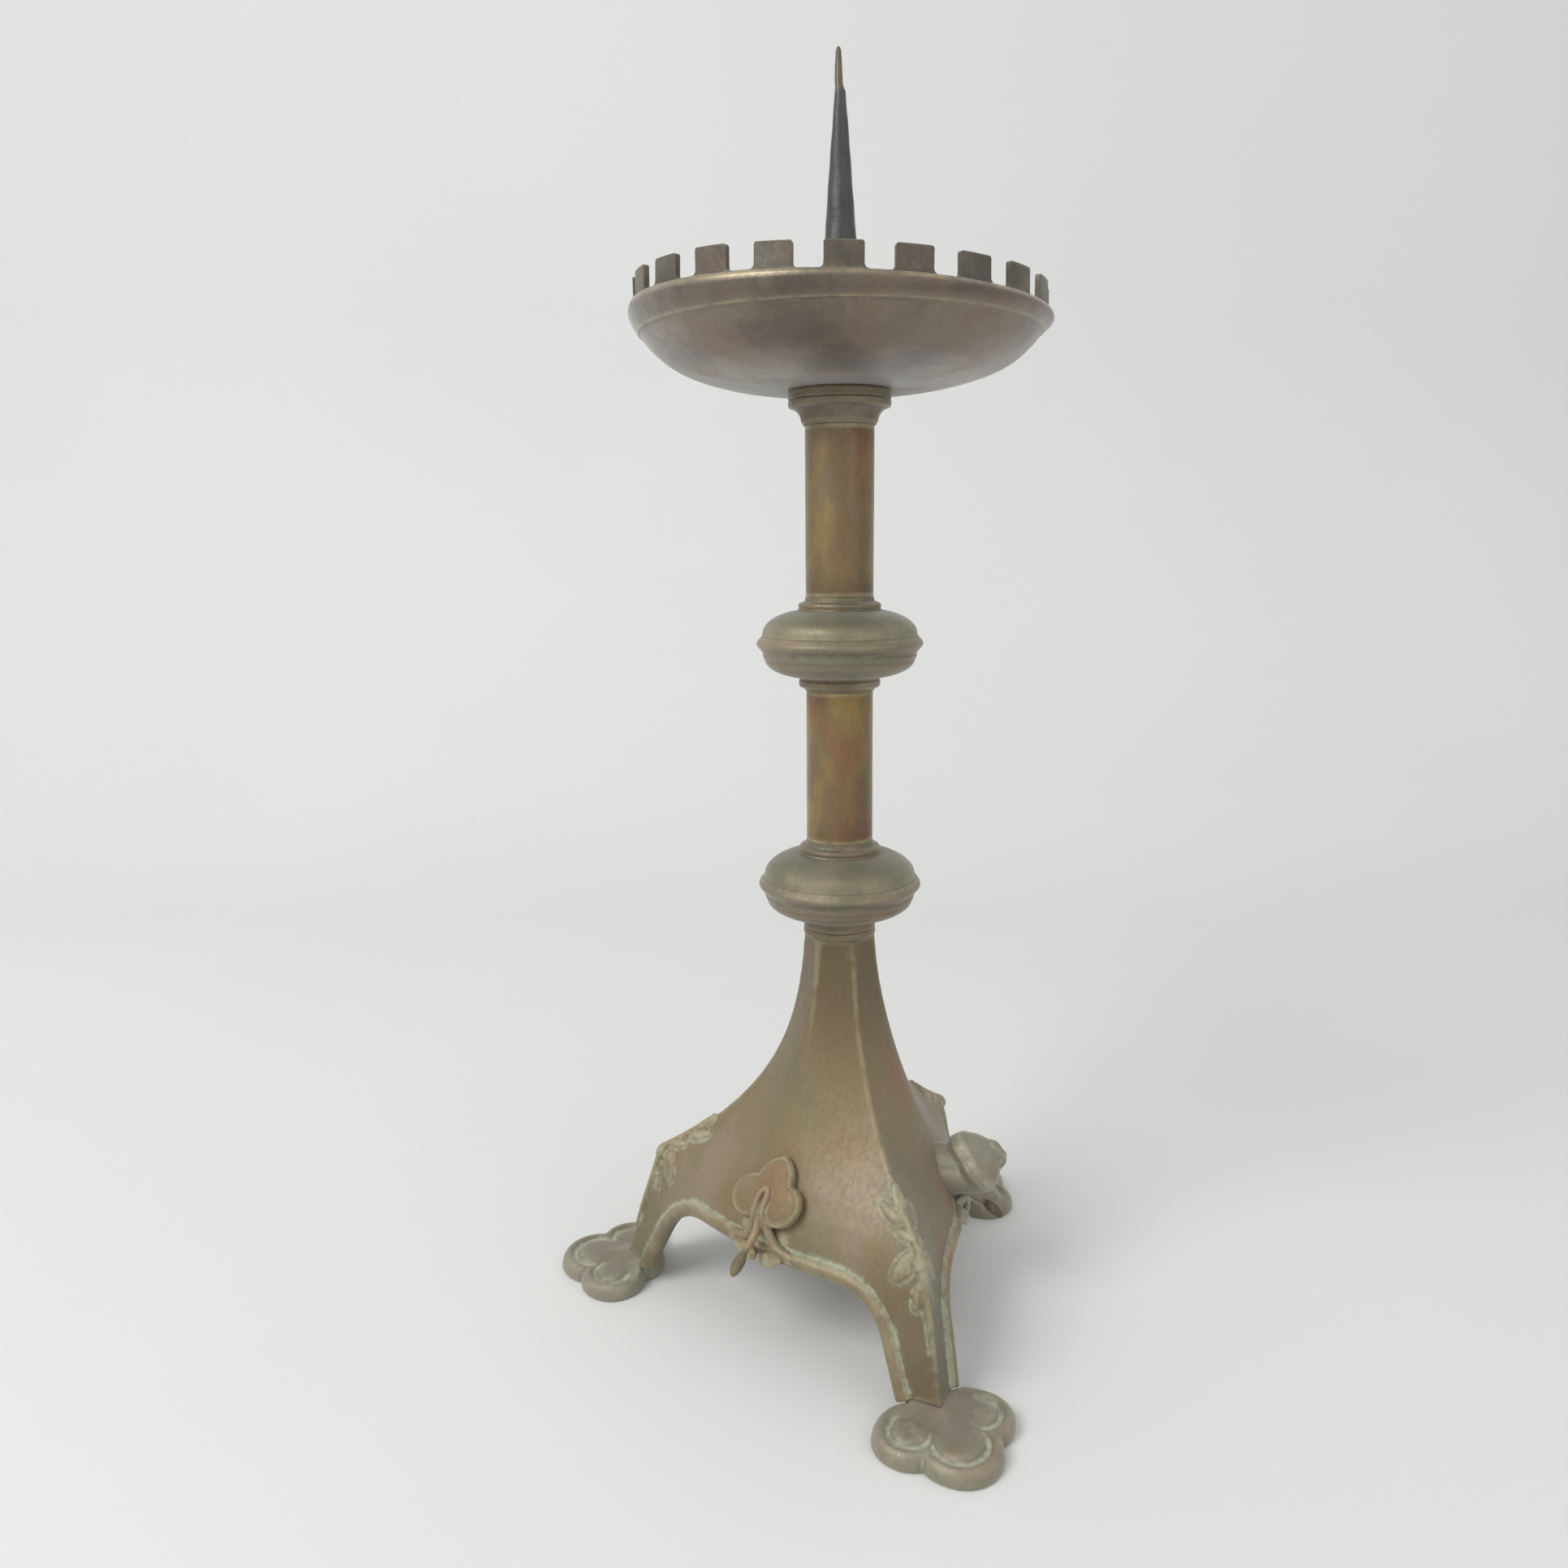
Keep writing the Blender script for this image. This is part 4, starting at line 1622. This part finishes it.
class CANDLE_OT_spike(bpy.types.Operator):
    """Forge the iron spike with its shouldered tip"""
    bl_idname = "candle.spike"
    bl_label = "Forge Spike"

    def execute(self, context):
        low, high = ends("pricket")
        stem = settings().stem
        marks = np.array([*SPIKE_LINE, (high - low, SPIKE_TIP)])
        heights = np.unique(np.concatenate([np.linspace(0.0, high - low, 150), marks[:, 0]]))
        radii = np.interp(heights, marks[:, 0], marks[:, 1])
        turn = full_turn(40)
        above = heights[:, None]
        worked = smooth_step(3.0, 9.0, above) * smooth_step(96.0, 80.0, above)
        dents = np.sin(3 * turn + 0.21 * above) * np.sin(0.37 * above + 2.0)
        dents = dents + 0.6 * np.sin(2 * turn - 0.13 * above + 1.0)
        radius = radii[:, None] - stem.hammer / MM * worked * (0.5 + 0.5 * dents)
        bend = -0.35 * smooth_step(SPIKE_SHOULDER, SPIKE_SHOULDER + 2.5, heights)
        bend = bend + 0.25 * np.sin(heights / 30.0) * smooth_step(4.0, 30.0, heights)
        rings = round_axis(radius, turn, low + above)
        rings[..., :2] += bend[:, None, None] * DULL_WAY
        piece = new_piece("forged_spike", *capped_rings(rings))
        z = mesh_points(piece.data)[:, 2] - low
        tip = smooth_step(SPIKE_SHOULDER - 1.0, SPIKE_SHOULDER + 3.0, z)
        keep_mask(piece.data, "crest", np.maximum(tip, 0.3 * smooth_step(10.0, 2.0, z)))
        hand_over(piece, finish("forged_iron"), "stand", "forged_iron", "pricket")
        return {"FINISHED"}


# Fixings

THREAD_RUN = 10.0
THREAD_DEPTH = 0.22
THREAD_PITCH = 1.0
ROD_RADIUS = 2.76
ROD_END = 2.5
WASHER = 6.6
NUT_FLAT = 5.0
NUT_BORE = 3.1
NUT_CORNER = 5.8


class CANDLE_OT_fixings(bpy.types.Operator):
    """Make the tie rod, its washer and nut, and finish the rivets behind the leaves"""
    bl_idname = "candle.fixings"
    bl_label = "Make Fixings"

    def execute(self, context):
        low, high = ends("tie_rod")
        heights = np.concatenate([np.linspace(low, low + THREAD_RUN, 90), [high - 0.6, high]])[:, None]
        turn = full_turn(40)
        thread = THREAD_DEPTH * np.sin(TURN * heights / THREAD_PITCH - turn)
        thread = thread * (heights < low + THREAD_RUN - 0.2)
        radius = np.where(heights > high - 0.3, ROD_END, ROD_RADIUS) + thread
        rod = new_piece("threaded_rod", *capped_rings(round_axis(radius, turn, heights)))
        hand_over(rod, finish("iron_hardware"), "stand", "iron_hardware", "tie_rod")
        low, high = ends("base_washer")
        profile = [(ROD_HOLE, low), (WASHER, low), (WASHER, high), (ROD_HOLE, high)]
        washer = turned("rod_washer", profile, FINE_STEP)
        hand_over(washer, finish("iron_hardware"), "stand", "iron_hardware", "base_washer")
        low, high = ends("base_nut")
        turn = full_turn(96)
        flats = NUT_FLAT / np.cos((turn + TURN / 12.0) % (TURN / 6.0) - TURN / 12.0)
        line = ((high, NUT_BORE), (high, NUT_CORNER), (low + 1.2, NUT_CORNER), (low + 0.6, 5.5),
                (low, NUT_FLAT), (low, NUT_BORE))
        rings = [round_axis(np.minimum(flats, most), turn, z) for z, most in line]
        nut = new_piece("rod_nut", np.array(rings), ring_faces(len(line), len(turn), closed=True))
        hand_over(nut, finish("iron_hardware"), "stand", "iron_hardware", "base_nut")
        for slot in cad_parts["leaf_rivets"].material_slots:
            slot.material = finish("turned_brass")
        return {"FINISHED"}


# Stage

# In metres: where the floor starts to curve up, the radius of the curve, and how far the backdrop reaches
# forwards, sideways and up
CURVE_START = 0.45
CURVE = 0.5
BACKDROP_REACH = 3.0
LIGHT_TARGET = Vector((0.0, 0.0, 0.2))
CLOTH_SHADE = (0.8, 0.8, 0.82, 1.0)
SKY = (0.96, 0.98, 1.0, 1.0)


def pale_cloth(name, tint):
    """A plain pale backdrop with the faintest unevenness."""
    made, tree = empty_material(name)
    place = put(tree, "ShaderNodeTexCoord").outputs["Object"]
    part = ramp(tree, noise(tree, place, 3.0, 3.0), 0.3, 0.7, 0.0, 0.08)
    tone = blend(tree, part, (*tint, 1.0), CLOTH_SHADE, "MULTIPLY")
    values = {"Base Color": tone, "Roughness": 0.9, "Specular IOR Level": 0.1}
    shader = put(tree, "ShaderNodeBsdfPrincipled", values)
    put(tree, "ShaderNodeOutputMaterial", {"Surface": shader.outputs[0]})
    return made


def aim(place, target):
    """A matrix for a lamp at a place, shining at a target."""
    away = (Vector(place) - Vector(target)).normalized()
    return Matrix.Translation(place) @ away.to_track_quat("Z", "Y").to_matrix().to_4x4()


class CANDLE_OT_stage(bpy.types.Operator):
    """Set up the floor, the backdrop, the lights and the camera"""
    bl_idname = "candle.stage"
    bl_label = "Set Stage"

    def execute(self, context):
        stage = settings().stage
        heading = stage.camera_heading
        level = Vector((math.sin(heading), math.cos(heading), 0.0))
        right = Vector((math.cos(heading), -math.sin(heading), 0.0))
        self.set_camera(context.scene, stage, level, right)
        self.hang_backdrop(context.scene, stage, level, right)
        self.light(context.scene, stage, level, right)
        context.scene.view_settings.view_transform = "Standard"
        return {"FINISHED"}

    def set_camera(self, scene, stage, level, right):
        """A camera that looks down a little and is turned slightly about its view."""
        pitch, roll = stage.camera_pitch, stage.camera_roll
        ahead = level * math.cos(pitch) - Vector((0.0, 0.0, math.sin(pitch)))
        up = right.cross(ahead)
        image_right = right * math.cos(roll) - up * math.sin(roll)
        image_up = right * math.sin(roll) + up * math.cos(roll)
        lens = bpy.data.cameras.new("stand_camera")
        lens.lens = stage.lens
        lens.sensor_width = 36.0
        lens.clip_start = 0.01
        camera = bpy.data.objects.new("stand_camera", lens)
        turn = Matrix((image_right, image_up, -ahead)).transposed().to_4x4()
        camera.matrix_world = Matrix.Translation(stage.camera_place) @ turn
        scene.collection.objects.link(camera)
        scene.camera = camera

    def hang_backdrop(self, scene, stage, level, right):
        """A floor that curves up into a wall behind the stand."""
        line = [(-BACKDROP_REACH, 0.0), (CURVE_START, 0.0)]
        for sweep in np.linspace(0.1, math.pi / 2, 14):
            line.append((CURVE_START + CURVE * math.sin(sweep), CURVE - CURVE * math.cos(sweep)))
        line.append((CURVE_START + CURVE, BACKDROP_REACH))
        points = []
        for far, z in line:
            for side in (-BACKDROP_REACH, BACKDROP_REACH):
                points.append(level * far + right * side + Vector((0.0, 0.0, z)))
        faces = [(2 * k, 2 * k + 1, 2 * k + 3, 2 * k + 2) for k in range(len(line) - 1)]
        mesh = bpy.data.meshes.new("backdrop")
        mesh.from_pydata(points, [], faces)
        mesh.polygons.foreach_set("use_smooth", [True] * len(mesh.polygons))
        mesh.materials.append(pale_cloth("pale_backdrop", stage.backdrop))
        backdrop = bpy.data.objects.new("backdrop", mesh)
        scene.collection.objects.link(backdrop)

    def light(self, scene, stage, level, right):
        """A large lamp at the upper left, a soft one at the right and an even sky."""
        lamps = (("key_lamp", -level * 0.75 - right * 0.95 + Vector((0.0, 0.0, 1.25)), 0.9, stage.key_power),
                 ("fill_lamp", -level * 0.9 + right * 0.9 + Vector((0.0, 0.0, 0.6)), 1.0, stage.fill_power))
        for name, place, size, power in lamps:
            light = bpy.data.lights.new(name, "AREA")
            light.shape = "DISK"
            light.size = size
            light.energy = power
            lamp = bpy.data.objects.new(name, light)
            lamp.matrix_world = aim(place, LIGHT_TARGET)
            scene.collection.objects.link(lamp)
        world = bpy.data.worlds.new("even_sky")
        world.use_nodes = True
        sky = world.node_tree.nodes["Background"]
        sky.inputs["Color"].default_value = SKY
        sky.inputs["Strength"].default_value = stage.sky_strength
        scene.world = world


PIECES = (CANDLE_OT_base, CANDLE_OT_feet, CANDLE_OT_leaves, CANDLE_OT_collars, CANDLE_OT_knops,
          CANDLE_OT_tubes, CANDLE_OT_pan, CANDLE_OT_gallery, CANDLE_OT_spike, CANDLE_OT_fixings,
          CANDLE_OT_stage)


class CANDLE_PT_stand(bpy.types.Panel):
    """Lists the pieces of the candle stand"""
    bl_idname = "CANDLE_PT_stand"
    bl_label = "Candle Stand"
    bl_space_type = "VIEW_3D"
    bl_region_type = "UI"
    bl_category = "Candle Stand"

    def draw(self, context):
        for piece in PIECES:
            self.layout.operator(piece.bl_idname)


CLASSES = (CastingSettings, StemSettings, PanSettings, FinishSettings, StageSettings, StandSettings, *PIECES,
           CANDLE_PT_stand)


def register():
    for made in CLASSES:
        bpy.utils.register_class(made)
    bpy.types.Scene.candle_stand = PointerProperty(type=StandSettings)


def unregister():
    del bpy.types.Scene.candle_stand
    for made in reversed(CLASSES):
        bpy.utils.unregister_class(made)


def main():
    register()
    bpy.ops.candle.stage()
    bpy.ops.candle.base()
    bpy.ops.candle.feet()
    bpy.ops.candle.leaves()
    bpy.ops.candle.collars()
    bpy.ops.candle.knops()
    bpy.ops.candle.tubes()
    bpy.ops.candle.pan()
    bpy.ops.candle.gallery()
    bpy.ops.candle.spike()
    bpy.ops.candle.fixings()


if __name__ == "__main__":
    main()
